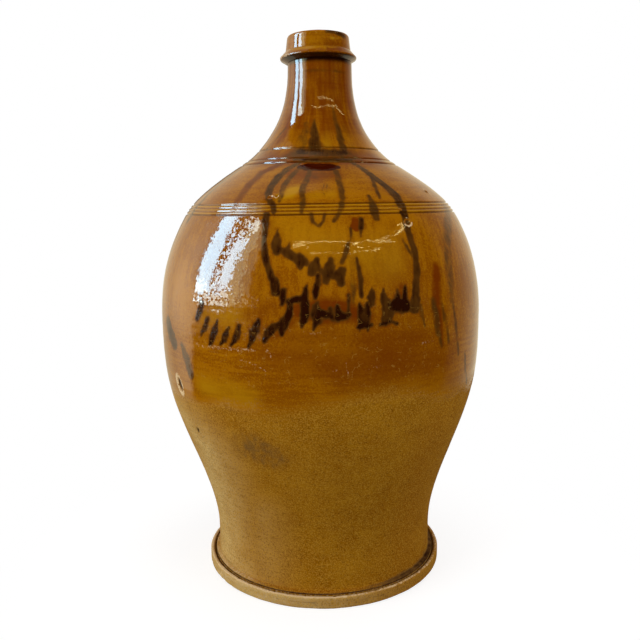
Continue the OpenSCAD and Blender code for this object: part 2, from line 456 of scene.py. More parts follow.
def runs() -> tuple[PhotoStroke, ...]:
    """Drips that ran down from the neck over the shoulder, as the photograph shows them.

    Returns:
        The strokes. Each has its path and its strength, and a group shares its softness and its fray.
    """
    shoulder = {
        "neck_left_line": (((286, 128, 2.0), (276, 139.5, 2.8), (262, 154, 3.0), (249, 163, 2.4)), 0.36),
        "left_run_root": (((306, 159, 4.0), (297, 164, 5.0), (288, 169, 6.0), (279, 176.5, 6.6)), 0.58),
        "left_run": (((279, 176.5, 6.6), (271.5, 186, 6.2), (268.5, 193, 5.6), (269, 199, 4.6),
                      (272.5, 205, 4.4), (274, 212, 3.6)), 0.74),
        "left_branch": (((299, 169, 3.6), (289, 178, 4.8), (284, 186, 4.8), (281, 195, 4.4),
                         (279.5, 201, 3.0)), 0.54),
        "middle_run": (((309.5, 171, 4.2), (307, 180, 4.8), (303, 187, 4.8), (302, 195, 4.6),
                        (303, 204, 4.4), (301.5, 212, 3.2)), 0.52),
        "right_run": (((336, 171, 4.6), (339, 181, 4.8), (341.5, 190, 4.6), (342.5, 200, 4.4),
                       (341, 209, 4.2), (337, 218, 2.6)), 0.54),
        "long_run_root": (((342, 157, 3.6), (352, 162, 4.4), (362, 168, 5.0), (370, 174, 6.4)), 0.58),
        "long_run": (((370, 174, 6.4), (379, 181, 6.4), (388, 188, 7.0), (396, 196, 7.8), (401, 205, 7.4),
                      (404, 214, 6.6)), 0.76),
        "right_branch": (((371, 177, 2.6), (375, 186, 3.4), (378, 194, 3.0), (379.5, 198, 1.8)), 0.62),
        "right_patch": (((369, 196, 2.6), (372, 203, 5.2), (374, 211, 6.2), (376, 218, 4.6)), 0.64),
        "crack": (((324, 184, 0.7), (322.5, 190, 0.8), (324.5, 196, 0.7)), 0.40),
        "second_crack": (((327, 183, 0.7), (326.5, 192, 0.8)), 0.40),
    }
    belly = {
        "belly_left_run": (((266, 214, 5.2), (265.5, 222, 4.8), (264.5, 232, 4.0), (263.7, 244, 4.0),
                            (265, 255, 4.8), (266.5, 264, 4.6), (269.5, 272, 4.2), (272.5, 279, 4.8)), 0.86),
        "left_run_block": (((274.5, 281, 6.0), (275.5, 292, 6.4)), 0.98),
        "belly_right_run": (((404, 214, 6.0), (405.5, 223, 5.4), (408, 232, 5.2), (411.5, 243, 5.2),
                             (415.5, 255, 5.4), (416.8, 268, 5.6), (416.5, 280, 6.0),
                             (416, 292, 6.6)), 0.76),
        "right_run_foot": (((415.5, 299, 8.4), (414.5, 307, 9.6)), 0.74),
        "right_run_tail": (((420, 306, 4.4), (422.5, 316, 3.6), (425, 326, 1.8)), 0.46),
        "right_run_fringe": (((402, 238, 1.6), (406, 246, 2.8), (412, 256, 2.4)), 0.52),
        "small_loop": (((311.5, 214, 2.8), (313, 222, 2.8), (318, 226, 3.0), (323, 222.5, 2.8),
                        (325, 214, 2.6)), 0.62),
        "small_tail": (((338, 215, 4.0), (334, 221, 2.0)), 0.52),
        "red_patch_dark": (((361, 219.5, 3.4), (361, 228, 3.4)), 0.90),
        "red_patch_tail": (((360.8, 228, 2.4), (360.8, 237, 1.2)), 0.66),
        "thin_vein": (((351, 229, 1.8), (350.5, 240, 2.4), (348, 244, 3.4), (345.5, 253, 3.4),
                       (342, 263, 2.8)), 0.66),
        "lower_vein": (((356.5, 258, 1.4), (358.5, 268, 2.4), (360.5, 280, 3.2), (361.5, 296, 3.4)), 0.78),
    }
    smears = {
        "neck_left_vein": (((283, 163, 5.0), (262, 173, 7.0), (250, 184, 7.6), (240, 197, 7.0),
                            (234, 205, 4.0)), 0.24),
        "vein_shade": (((354, 258, 3.0), (354, 280, 4.6), (353, 302, 4.0)), 0.34),
        "far_right_veil": (((446.7, 208, 9.0), (447.7, 226, 11.0), (446.5, 243, 11.0), (449, 270, 9.0),
                            (452, 300, 6.0)), 0.36),
        "far_right_run": (((433, 300, 4.6), (436, 315, 6.4), (439, 332, 5.6), (442, 346, 3.0)), 0.56),
        "far_right_streak": (((441, 298, 3.0), (445, 318, 4.2), (449, 342, 2.4)), 0.48),
        "edge_streak": (((453, 303, 2.6), (456.4, 325, 3.4), (457.5, 343, 3.2), (458.7, 354, 2.0)), 0.50),
        "edge_tail": (((465, 353, 2.4), (466, 371, 2.6), (467, 383, 1.8)), 0.60),
        "left_edge_dab": (((169, 323, 10.0), (171.5, 333, 13.0), (175, 343, 10.0)), 0.95),
        "left_edge_streak": (((182, 345, 5.0), (187, 359, 9.0), (191, 374, 7.0)), 0.66),
    }
    neck = {
        "neck_drip": (((314.5, 120, 1.0), (314.5, 128, 4.4), (314.5, 138, 7.2), (315, 149, 10.0)), 0.78),
        "neck_thin_drip": (((333, 108, 1.4), (335.5, 120, 3.4), (339, 132, 4.8), (344, 150, 6.4)), 0.64),
        "neck_drip_shade": (((307, 124, 5.0), (303, 137, 9.0), (299, 149, 12.0)), 0.34),
        "thin_drip_shade": (((343, 122, 4.0), (348, 136, 8.0), (352, 149, 9.0)), 0.18),
        "band_smudge": (((300, 152, 7.0), (322, 153, 9.0), (344, 153, 7.4)), 0.82),
        "band_root": (((296, 159.5, 5.0), (322, 160, 7.0), (350, 159.5, 5.0)), 0.88),
        "band_right": (((345, 158, 5.0), (362, 160, 2.4)), 0.45),
        "collar_line": (((296, 72, 0.9), (312, 70.5, 1.1), (330, 70.5, 1.0), (344, 73, 0.9)), 0.50),
        "lip_smudge": (((327, 30.5, 1.8), (337, 32, 4.2), (346, 36.5, 2.6)), 0.74),
    }
    groups = ((shoulder, 1.2, 0.35), (belly, 1.1, 0.5), (smears, 2.4, 0.8), (neck, 2.1, 0.5))
    return tuple(
        PhotoStroke(Pigment.MANGANESE_AND_SHADE, path, strength, soft, fray)
        for strokes, soft, fray in groups
        for path, strength in strokes.values()
    )


def swags() -> tuple[PhotoStroke, ...]:
    """Dabs of the two brushed swags on the belly, as the photograph shows them.

    Returns:
        The strokes. Each row is a path, and a group shares its strength and its softness.
    """
    upper = (
        ((277.5, 230, 1.0), (276.3, 237, 4.6), (275.8, 244, 7.4), (276, 250, 6.8)),
        ((281.5, 250, 3.4), (289, 253.5, 6.8), (297, 258, 7.8), (303, 262, 7.0)),
        ((289, 243, 1.0), (287.5, 250, 4.4)),
        ((300, 259, 7.0), (300.5, 265, 5.0)),
        ((316.5, 260.5, 4.6), (314.8, 266, 7.6), (312, 273, 5.0)),
        ((331.5, 260, 3.2), (330, 266, 7.2), (327.5, 274, 7.6), (326.5, 281, 4.4)),
        ((342, 270.5, 6.0), (339, 276, 8.6), (341, 283, 5.0)),
        ((319, 270, 3.0), (327, 274, 5.0), (337, 276.5, 6.0)),
    )
    left = (
        ((201.5, 303.5, 5.0), (200.5, 310, 5.8), (197, 318, 3.4)),
        ((217, 321.5, 2.2), (214.8, 330, 5.8), (212.3, 337, 5.6), (209, 345, 2.2)),
        ((228.8, 327, 2.4), (226.3, 334, 5.4), (223.5, 339.5, 5.0), (220.5, 344.5, 2.2)),
        ((239, 326, 2.4), (237.6, 333, 5.6), (234.8, 339.5, 5.0), (231.5, 345, 2.2)),
        ((258.5, 320.5, 2.4), (255.3, 330, 6.4), (252, 338, 6.2), (248.5, 346.5, 2.4)),
        ((250, 331, 2.2), (250.5, 338, 4.2)),
        ((279, 325, 4.4), (273.5, 327.5, 5.4), (268.5, 333, 5.8), (264, 341, 3.4)),
        ((289.3, 309.5, 2.4), (287.6, 316, 5.0), (284.5, 322, 6.2), (282.5, 329, 5.0), (281.5, 335, 2.6)),
    )
    middle = (
        ((283.5, 290.5, 4.2), (283, 297, 4.4), (282, 304, 2.4)),
        ((288.5, 301, 4.0), (295, 299.5, 4.4), (302, 299, 4.8)),
        ((291, 302, 3.8), (289.7, 309, 3.6), (288.3, 316, 4.4)),
        ((306.5, 286, 1.4), (305.5, 292, 3.8), (304.5, 299, 5.2), (304.5, 307, 6.2)),
        ((304.5, 307, 6.2), (304, 315, 6.8), (303.5, 321, 5.6), (301.5, 327, 2.8)),
        ((317.8, 276, 2.8), (317, 284, 3.8), (316.3, 292, 3.8), (316.3, 298, 2.6)),
        ((318, 302, 2.6), (316.8, 308, 5.8), (316.5, 315, 7.6), (316.5, 321, 6.4), (313.5, 330, 2.2)),
        ((321, 313, 6.0), (327, 315, 5.8), (331, 316, 4.2)),
        ((337, 306, 2.2), (338, 313, 4.6), (339, 317.5, 5.4)),
        ((339, 317, 4.8), (345, 316.5, 4.8), (349.5, 314.5, 3.4)),
        ((348.8, 295.5, 1.6), (348.6, 304, 2.4), (348.6, 313, 3.2)),
        ((359.3, 304, 1.8), (361, 311, 5.0), (361.5, 318, 5.6), (361.5, 325, 4.2)),
        ((367.7, 302.5, 2.2), (367, 311, 4.8), (366.5, 318, 5.6), (366.5, 325, 4.4)),
        ((358.5, 327.5, 2.2), (365, 327, 2.8), (371.5, 325, 2.2)),
        ((360, 327, 2.2), (359.8, 331, 1.2)),
        ((368.3, 327, 2.2), (367.8, 331, 1.2)),
        ((380, 324.5, 1.6), (385, 323.8, 2.4), (390.5, 320.5, 2.6)),
        ((392.5, 322, 1.6), (397.5, 323.5, 2.8)),
    )
    black = (
        ((397, 290, 1.4), (397.3, 296, 3.4), (398, 302, 5.4)),
        ((405, 287, 1.4), (405, 294, 3.2), (404.5, 301, 5.4)),
        ((395.5, 303, 6.4), (400, 304.5, 8.0), (406, 304, 7.4)),
        ((397, 308, 5.4), (402, 309, 6.4), (407, 307, 5.4)),
    )
    pale = (
        ((207.5, 319, 3.2), (204.8, 327, 4.8), (201.5, 334.5, 2.2)),
        ((371.8, 287.5, 1.0), (371.5, 293, 4.4), (371.3, 298, 6.2), (372, 303.5, 4.4)),
        ((383.6, 290, 1.2), (383.3, 295, 5.0), (384.5, 301, 6.6), (387.5, 307, 9.4), (388.5, 313, 9.6),
         (386, 318.5, 7.0)),
        ((391, 306, 5.0), (396.5, 307, 5.0)),
        ((330, 309, 4.0), (332, 318, 4.4)),
    )
    groups = (
        (upper, 0.78, 1.3), (left, 1.00, 1.1), (middle, 1.05, 1.2), (black, 1.15, 1.6), (pale, 0.82, 1.1),
    )
    return tuple(
        PhotoStroke(Pigment.MANGANESE_AND_SHADE, path, strength, soft, 0.8)
        for paths, strength, soft in groups
        for path in paths
    )


def washes() -> tuple[PhotoStroke, ...]:
    """Soft zones of iron red, pale ochre and thin manganese in the glaze and the clay, with painted shade, a
    painted dark red reflection at the neck's root, a painted highlight along the collar's crease and a
    painted sheen on the clay's left.

    Returns:
        The strokes. Each has its pigment, path, strength and softness, and some have a fray.
    """
    red, pale, dark = Pigment.IRON, Pigment.OCHRE_AND_LIGHT, Pigment.MANGANESE_AND_SHADE
    rows = {
        "hip_red_band": (red,
         ((270, 358, 20), (310, 361, 32), (350, 364, 36), (400, 360, 36), (446, 360, 28)), 0.54, 15),
        "under_dabs_red": (red,
         ((290, 336, 16), (330, 338, 20), (370, 340, 20), (410, 338, 20), (440, 340, 14)), 0.46, 10),
        "under_swag_red": (red, ((298, 312, 12), (325, 310, 18), (350, 312, 14), (366, 318, 10)), 0.95, 5),
        "under_swag_shade": (dark, ((305, 318, 5), (325, 318, 7), (348, 317, 4)), 0.46, 4),
        "left_swag_red": (red, ((292, 322, 8), (280, 333, 9), (268, 338, 6)), 0.66, 4),
        "spike_red": (red, ((401.5, 285, 4), (401, 297, 6)), 0.75, 2.5),
        "far_right_red": (red,
         ((436, 268, 8), (437, 285, 9), (437, 300, 9), (440, 322, 7), (443, 345, 4)), 0.95, 4),
        "red_patch": (red, ((355, 220, 5.4), (355, 228.5, 5.4)), 0.95, 0.9),
        "root_red": (red,
         ((262, 160, 20), (290, 158, 22), (320, 158, 24), (350, 158, 22), (378, 160, 20)), 0.85, 9),
        "flare_left_red": (red, ((292, 112, 7), (282, 136, 14), (262, 155, 12)), 0.66, 6),
        "flare_right_red": (red, ((346, 112, 6), (352, 132, 12), (360, 148, 10)), 0.34, 6),
        "vein_red": (red, ((283, 163, 6), (262, 173, 9), (250, 184, 9), (238, 200, 7)), 0.85, 3),
        "under_root_red": (red, ((290, 172, 14), (316, 176, 18), (336, 174, 14)), 0.70, 7),
        "under_root_shade": (dark, ((300, 170, 8), (318, 176, 14), (330, 174, 8)), 0.22, 6),
        "root_shade": (dark, ((292, 155, 14), (320, 154, 18), (350, 155, 14)), 0.46, 8),
        # Painted reflection: the dark neck mirrored in the shoulder, a dark red lens at the neck's root.
        "root_reflection": (Pigment.REFLECTION,
         ((300, 167, 5), (308, 167, 10.5), (330, 167, 10.5), (337, 167, 5)), 1.28, 0.9, 0.4),
        # Painted highlight along the collar's crease, laid as pale ochre.
        "crease_highlight": (pale,
         ((292, 50, 1.2), (304, 48, 2.2), (322, 47.5, 2.4), (338, 48.5, 1.6)), 0.90, 1.2),
        "collar_red": (red, ((328, 50, 3), (338, 50, 4), (346, 51, 3)), 0.80, 2),
        "lip_ochre": (pale, ((302, 40, 9), (318, 40, 11)), 0.16, 5),
        "lip_red": (red, ((326, 44, 6), (342, 44, 7)), 0.45, 4),
        "lip_streak": (pale, ((331, 38, 1.2), (337, 38.5, 2.4), (342, 37.5, 1.2)), 1.0, 0.8),
        "band_ochre": (pale, ((282, 196, 9), (290, 192, 11), (298, 189, 7)), 1.10, 3.5),
        "middle_ochre": (pale, ((312, 196, 8), (332, 194, 8)), 0.40, 5),
        "neck_ochre": (pale, ((328, 126, 4), (327, 140, 7), (328, 148, 7)), 0.50, 3),
        "neck_right_ochre": (pale, ((346, 72, 5), (349, 96, 7), (354, 122, 9)), 0.30, 5),
        "belly_ochre": (pale, ((285, 226, 20), (320, 244, 26), (385, 256, 30)), 0.42, 14),
        "left_belly_ochre": (pale, ((205, 318, 10), (232, 316, 12)), 0.50, 8),
        "left_belly_red": (red, ((248, 314, 8), (262, 312, 12), (274, 306, 10)), 0.45, 6),
        "hip_ochre": (pale, ((204, 386, 12), (228, 392, 16), (250, 398, 12)), 0.70, 8),
        # Painted sheen of the window on the clay's left side, laid as pale ochre.
        "clay_left_sheen": (pale,
         ((180, 408, 26), (206, 450, 40), (220, 500, 50), (224, 545, 52), (226, 570, 52)), 1.05, 40),
        "clay_front_pale": (pale, ((262, 515, 26), (264, 548, 34), (262, 576, 34)), 0.26, 22),
        "clay_right_red": (red, ((436, 424, 24), (420, 470, 36), (410, 520, 44), (404, 560, 44)), 0.92, 30),
        "foot_red": (red,
         ((372, 588, 3), (396, 580, 6), (412, 570, 8), (423, 556, 8), (427, 540, 5)), 1.10, 5, 0.5),
        "foot_shade": (dark, ((398, 584, 2), (411, 575, 4), (422, 562, 4), (428, 548, 3)), 0.36, 5, 0.5),
        "clay_darkened": (dark, ((246, 446, 22), (262, 452, 28), (275, 456, 20)), 0.35, 13),
    }
    return tuple(PhotoStroke(*row) for row in rows.values())


def textures() -> tuple[PhotoStroke, ...]:
    """Zones where the glaze came out coarse, and pale scuffs on the lower belly that are partly painted
    glints.

    Returns:
        The strokes. A coarse zone has its own strength and softness, and the scuffs share theirs.
    """
    coarse = (
        (((239, 216, 4), (233, 236, 5), (222, 262, 6), (211, 294, 6)), 0.70, 3),
        (((250, 222, 4), (243, 248, 8), (236, 280, 12), (230, 298, 14)), 0.26, 6),
        (((196, 297, 9), (209, 297, 9)), 1.0, 4),
        (((214, 297, 9), (228, 297, 11), (252, 302, 6)), 0.55, 4),
        (((252, 217, 8), (247, 226, 11), (243, 236, 8)), 0.75, 4),
        (((194, 322, 10), (225, 330, 14), (258, 332, 12)), 0.30, 6),
    )
    # Pale scuffs: partly worn glaze, partly painted glints where ripples of the glaze catch the lamps.
    scuffs = (
        ((190, 341, 2.0), (206, 347, 5.0), (222, 348, 4.0), (243, 350, 5.0), (258, 350, 3.0)),
        ((262, 345, 2.0), (267, 351, 4.0), (271, 357, 2.0)),
        ((240, 360, 2.0), (256, 365, 4.0), (268, 372, 2.0)),
        ((300, 330, 2.0), (311, 334, 4.0), (322, 333, 2.0)),
        ((331, 372, 2.4), (337, 371, 2.4)),
        ((346, 360, 1.6), (348, 372, 2.6), (346, 382, 1.6)),
        ((371, 354, 1.4), (376, 348, 2.6), (383, 343, 1.4)),
        ((366, 371, 1.4), (374, 367, 2.8), (390, 365, 1.6)),
        ((420, 344, 1.4), (431, 341, 3.0), (440, 343, 1.4)),
    )
    zones = tuple(PhotoStroke(Pigment.COARSE, *row) for row in coarse)
    return zones + tuple(PhotoStroke(Pigment.SCUFF_AND_LIGHT, path, 0.32, 1.6) for path in scuffs)


@dataclass(frozen=True)
class GlazeEdge:
    """Uneven lower edge of the glaze.

    Seen points are pixels of the photograph with the edge's softness in millimetres. The back has azimuths
    in degrees and heights in metres.
    """

    seen: PhotoPath = (
        (170, 388, 8.0), (186, 396, 6.0), (200, 402, 3.0), (225, 404, 4.0), (243, 410, 6.0), (262, 412, 7.0),
        (300, 410, 8.0), (320, 406, 8.0), (340, 400, 7.0), (360, 394, 7.0), (385, 390, 7.0), (400, 390, 7.0),
        (430, 394, 8.0), (455, 388, 10.0), (470, 382, 12.0),
    )
    back: tuple[tuple[float, float], ...] = (
        (95, 0.181), (140, 0.172), (180, 0.164), (225, 0.178), (270, 0.170),
    )
    back_soft: float = 4.5

    def above(self, azimuth: Array, height: Array, view: PhotoView, wall: WallCurve) -> Array:
        """Give the height above the glaze's lower edge, in units of that edge's softness.

        The edge and its softness run straight from point to point round the bottle.

        Args:
            azimuth: Azimuths in radians.
            height: Heights in metres.
            view: Camera that the seen pixels belong to.
            wall: Wall that carries the glaze.
        Returns:
            Heights over the edge, divided by the softness there.
        """
        seen = np.array(self.seen)
        seen_a, seen_z = view.land(seen[:, :2], wall)
        back_a, back_z = np.array(self.back).T
        around = np.concatenate((seen_a, np.radians(back_a)))
        edge = np.interp(azimuth, around, np.concatenate((seen_z, back_z)), period=tau)
        softness = np.concatenate((seen[:, 2], np.full(len(back_z), self.back_soft)))
        return (height - edge) / (MM * np.interp(azimuth, around, softness, period=tau))


@dataclass(frozen=True)
class BackDrips:
    """Drips and swags that carry the decoration on round the side that the photograph doesn't show.

    Turns are in degrees. Each swag has the height of its crests and the depth of its sag in metres.
    """

    first_turn: float = 72.0
    last_turn: float = 300.0
    drip_count: int = 13
    drip_points: int = 9
    swag_dabs: int = 17
    swags: tuple[tuple[float, float], ...] = ((0.276, 0.036), (0.236, 0.034))

    def strokes(self, form: BottleForm) -> tuple[Stroke, ...]:
        """Draw the hidden strokes.

        A drip wanders a little to each side as it runs down from the neck's root. A swag is a row of slanted
        dabs whose heights follow hanging arcs, the sizes of a sine.

        Args:
            form: Sizes of the bottle.
        Returns:
            Strokes in azimuth and height.
        """
        rng = np.random.default_rng(int(Seed.BACK))
        made = []
        turns = np.linspace(self.first_turn, self.last_turn, self.drip_count)
        turns = np.radians(turns + rng.uniform(-5.0, 5.0, self.drip_count))
        for turn in turns:
            low = rng.uniform(form.hip_z + 0.055, form.shoulder_z + 0.01)
            height = np.linspace(form.root_z - rng.uniform(0.0, 0.008), low, self.drip_points)
            wander = np.cumsum(rng.normal(0.0, 0.018, self.drip_points))
            width = MM * rng.uniform(2.4, 4.4) * np.linspace(0.8, 1.15, self.drip_points)
            points = np.column_stack((turn + wander, height, width))
            strength = rng.uniform(0.45, 0.80)
            made.append(Stroke(Pigment.MANGANESE_AND_SHADE, points, strength, 1.2 * MM, 0.4))
        for crest, sag in self.swags:
            turns = np.linspace(self.first_turn + 12.0, self.last_turn - 16.0, self.swag_dabs)
            turns = turns + rng.uniform(-3.0, 3.0, self.swag_dabs)
            hang = sag * np.abs(np.sin(np.radians(turns) * 1.9 + crest * 3.0))
            for turn, drop in zip(np.radians(turns), hang):
                z = crest - drop + rng.uniform(-2.0, 2.0) * MM
                length = rng.uniform(7.0, 15.0) * MM
                lean = rng.uniform(0.01, 0.07)
                wide = rng.uniform(4.4, 7.0) * MM
                points = np.array(((turn + lean, z + length / 2, 0.5 * wide), (turn, z - length / 2, wide)))
                made.append(Stroke(Pigment.MANGANESE_AND_SHADE, points, 1.0, 1.1 * MM, 0.8))
        return tuple(made)


@dataclass(frozen=True)
class Scar:
    """Kiln scar, pit or bubble in the glaze, at a pixel of the photograph: a hollow with a raised rim.

    Its sizes are in metres and its lean is in radians. A bubble has a depth below 0. The stain darkens the
    middle as painted shade in the hollow, and the bare share pales the rim as bare clay and as a painted
    highlight.
    """

    pixel: tuple[float, float]
    length: float
    width: float
    depth: float
    lean: float = 0.0
    stain_and_shade: float = 0.0
    bare_and_highlight: float = 0.0


@dataclass
class Skin:
    """Outer skin of the bottle: the relief of the clay, and what the glaze and its pigments do on it.

    The halo round a stroke, the heights of the relief and the fray of a stroke's edge are in metres. The
    sway has heights in metres and how far the axis strays there in millimetres.
    """

    form: BottleForm
    view: PhotoView
    halo: float = 3.0 * MM
    edge: GlazeEdge = field(default_factory=GlazeEdge)
    back: BackDrips = field(default_factory=BackDrips)
    lobe_h: float = 0.2 * MM
    oval_h: float = 0.35 * MM
    ring_h: float = 0.045 * MM
    wide_ring_h: float = 0.08 * MM
    lump_h: float = 0.030 * MM
    fine_lump_h: float = 0.016 * MM
    ridge_h: float = 0.1 * MM
    long_fray: float = 0.85 * MM
    even_fray: float = 0.65 * MM
    whole_scar: float = 0.010
    climb_samples: int = 4401
    sway: tuple[tuple[float, float], ...] = (
        (0.04, 0.0), (0.12, -0.55), (0.20, -0.70), (0.25, -0.55), (0.29, 0.0), (0.335, -0.6), (0.36, -0.4),
        (0.385, 0.5), (0.405, 1.0),
    )
    # Stained middles are painted shade in the hollows, and pale rims painted highlights, the glints of the
    # bubbles.
    scars: tuple[Scar, ...] = (
        Scar((180.5, 384.5), 0.0150, 0.0085, 0.0011, 0.35, 1.0, 0.9),
        Scar((198.5, 430), 0.0062, 0.0038, 0.0010, -0.4, 1.5),
        Scar((426, 191.5), 0.0036, 0.0050, 0.0007, 0.0, 0.8, 0.3),
        Scar((407.5, 222.5), 0.0060, 0.0064, 0.0006, 0.3, 0.8, 0.8),
        Scar((270.5, 197), 0.0036, 0.0044, 0.0005, 0.0, 0.3, 0.7),
        Scar((276.5, 196), 0.0030, 0.0036, 0.0005, 0.0, 0.3, 0.7),
        Scar((400, 209.5), 0.0022, 0.0034, -0.0005),
    )

    def __post_init__(self) -> None:
        """Land all strokes on the wall, and measure the wall's length from the floor up."""
        wall = self.form.outer
        photo = runs() + swags() + washes() + textures()
        self.strokes = tuple(s.landed(self.view, wall) for s in photo) + self.back.strokes(self.form)
        self.tall = np.linspace(0.0, self.form.top_z, self.climb_samples)
        self.along = length_along(wall, self.tall)

    def climb(self, height: Array) -> Array:
        """Length along the wall from the floor up to a height."""
        return np.interp(height, self.tall, self.along)

    def glaze_height(self, azimuth: Array, height: Array) -> Array:
        """Height above the glaze's lower edge, in units of that edge's softness."""
        return self.edge.above(azimuth, height, self.view, self.form.outer)

    def scar_frame(self, scar: Scar, azimuth: Array, height: Array) -> Array:
        """Distance from a scar's middle in units of its half width, as an oval that leans.

        Args:
            scar: The scar.
            azimuth: Azimuths in radians.
            height: Heights in metres.
        Returns:
            Distances, 1 on the edge of the scar.
        """
        turn, z = self.view.land(np.array([scar.pixel], float), self.form.outer)
        across = self.form.outer.radius(height) * turned_by(azimuth, turn[0])
        up = self.climb(height) - self.climb(z)[0]
        a = across * cos(scar.lean) + up * sin(scar.lean)
        b = up * cos(scar.lean) - across * sin(scar.lean)
        return np.hypot(a / (scar.width / 2), b / (scar.length / 2))

    def ridges(self, height: Array) -> Array:
        """Where ridges stand between the grooves of the shoulder band and of the neck's root.

        Args:
            height: Heights in metres.
        Returns:
            A share for each height, 1 on the crest of a ridge.
        """
        form = self.form
        apart = np.abs(height[..., None] - form.grooves).min(axis=-1)
        band = (height > form.grooves[0]) & (height < form.grooves[form.shoulder_grooves - 1])
        root = (height > form.grooves[-3]) & (height < form.grooves[-2])
        return np.sin(np.clip(apart / form.shoulder_pitch, 0.0, 0.5) * pi) ** 2 * (band | root)

    def offset(self, azimuth: Array, height: Array) -> Array:
        """Relief of the outer wall, square to it.

        The sum of a slight out-of-round, the sway of the axis to one side, throwing rings, the soft lumps of
        a thick glaze, rounded grooves with rounded ridges between them, a ledge at the base where the wall
        above it is drawn in upright, and the scars, each a hollow with a rim.

        Args:
            azimuth: Azimuths in radians, along the last axis.
            height: Heights in metres, down the first axis.
        Returns:
            Distances out from the curve of the wall, in metres.
        """
        form = self.form
        radius = form.outer.radius(height)
        points = turned_points(azimuth, radius, height)
        round_off = self.lobe_h * np.cos(3 * azimuth - 1.1) - self.oval_h * np.cos(2 * azimuth + 0.6)
        sway = MM * np.interp(height, *np.array(self.sway).T) * np.sin(azimuth)
        belly = smooth_step(height, 0.03, 0.12) * (1.0 - smooth_step(height, 0.29, 0.34))
        rings = lattice_noise(points * np.array((0.12, 0.12, 1.0)), 3.1 * MM, Seed.RINGS)
        wide_rings = lattice_noise(points * np.array((0.10, 0.10, 1.0)), 8.5 * MM, Seed.WIDE_RINGS)
        glazed = smooth_step(self.glaze_height(azimuth, height), -1.0, 1.5)
        lumps = self.lump_h * lattice_noise(points, 7.5 * MM, Seed.LUMPS)
        lumps = lumps + self.fine_lump_h * lattice_noise(points, 4.2 * MM, Seed.FINE_LUMPS)
        thrown = self.ring_h * rings + self.wide_ring_h * wide_rings
        relief = round_off * belly + sway + thrown + glazed * lumps
        apart = np.abs(height[..., None] - form.grooves)
        cut = 0.5 + 0.5 * np.cos(np.clip(apart / (form.groove_w / 2), 0.0, 1.0) * pi)
        relief = relief + self.ridge_h * self.ridges(height)
        upright = smooth_step(height - form.floor_z, 0.45 * form.ledge_h, 1.1 * form.ledge_h)
        upright = upright * (height < form.floor_z + form.waist_rise)
        relief = relief - upright * (radius - form.waist_r)
        relief = relief - form.groove_depth * (cut * np.array(form.groove_shares)).max(axis=-1)
        for scar in self.scars:
            d = self.scar_frame(scar, azimuth, height)
            rim = 0.3 * abs(scar.depth) * bell(d - 1.1, 0.25)
            relief = relief - scar.depth * (1.0 - smooth_step(d, 0.35, 1.05)) + rim
        return relief

    def stroke_depth(self, stroke: Stroke, azimuth: Array, height: Array) -> Array:
        """Signed distance inside a stroke's edge.

        The stroke is a chain of straight stretches on the unrolled wall, whose half width changes evenly
        along each stretch. The depth is the half width less the distance from the line.

        Args:
            stroke: The stroke.
            azimuth: Azimuths in radians, one row.
            height: Heights in metres, one column.
        Returns:
            Depths in metres, positive inside.
        """
        turn, tall, width = stroke.points.T
        radius = self.form.outer.radius(height)
        up = self.climb(height)
        rise = self.climb(tall)
        best = np.full(np.broadcast_shapes(azimuth.shape, height.shape), -np.inf)
        for i in range(len(turn) - 1):
            across = radius * turned_by(azimuth, turn[i])
            span = radius * (turn[i + 1] - turn[i])
            lift = rise[i + 1] - rise[i]
            above = up - rise[i]
            t = np.clip((across * span + above * lift) / (span**2 + lift**2 + 1e-12), 0.0, 1.0)
            distance = np.hypot(across - t * span, above - t * lift)
            half = 0.5 * (width[i] + t * (width[i + 1] - width[i]))
            best = np.maximum(best, half - distance)
        return best

    def fray(self, points: Array) -> Array:
        """How far the edge of a stroke strays, in metres: noise drawn out downwards and finer even noise."""
        drawn = lattice_noise(points * np.array((1.0, 1.0, 0.30)), 2.8 * MM, Seed.LONG_FRAY)
        return self.long_fray * drawn + self.even_fray * lattice_noise(points, 2.2 * MM, Seed.EVEN_FRAY)

    def pigments(self, azimuth: Array, height: Array, points: Array) -> dict[Pigment, Array]:
        """Lay all strokes on the skin.

        A stroke covers by a smooth step of its frayed depth over its softness. Where strokes of one pigment
        cross, the stronger counts, with a tenth of the weaker one. Manganese leaves a halo of iron round it.

        Args:
            azimuth: Azimuths in radians, one row.
            height: Heights in metres, one column.
            points: Places of the grid on the wall.
        Returns:
            The density of each pigment.
        """
        shape = points.shape[:-1]
        density = {pigment: np.zeros(shape) for pigment in Pigment}
        fray = self.fray(points)
        for stroke in self.strokes:
            low, high = stroke.points[:, 1].min(), stroke.points[:, 1].max()
            margin = 0.005 + 2.0 * stroke.soft + stroke.points[:, 2].max()
            rows = (height[:, 0] > low - margin) & (height[:, 0] < high + margin)
            if not rows.any():
                continue
            depth = self.stroke_depth(stroke, azimuth, height[rows])
            strayed = depth + stroke.fray * fray[rows]
            cover = stroke.strength * smooth_step(strayed, -stroke.soft, stroke.soft)
            held = density[stroke.pigment][rows]
            density[stroke.pigment][rows] = np.maximum(held, cover) + 0.1 * np.minimum(held, cover)
            if stroke.pigment is Pigment.MANGANESE_AND_SHADE:
                halo = 0.55 * stroke.strength * smooth_step(strayed + fray[rows], -self.halo, 0.5 * MM)
                density[Pigment.IRON][rows] = np.maximum(density[Pigment.IRON][rows], halo)
        return density

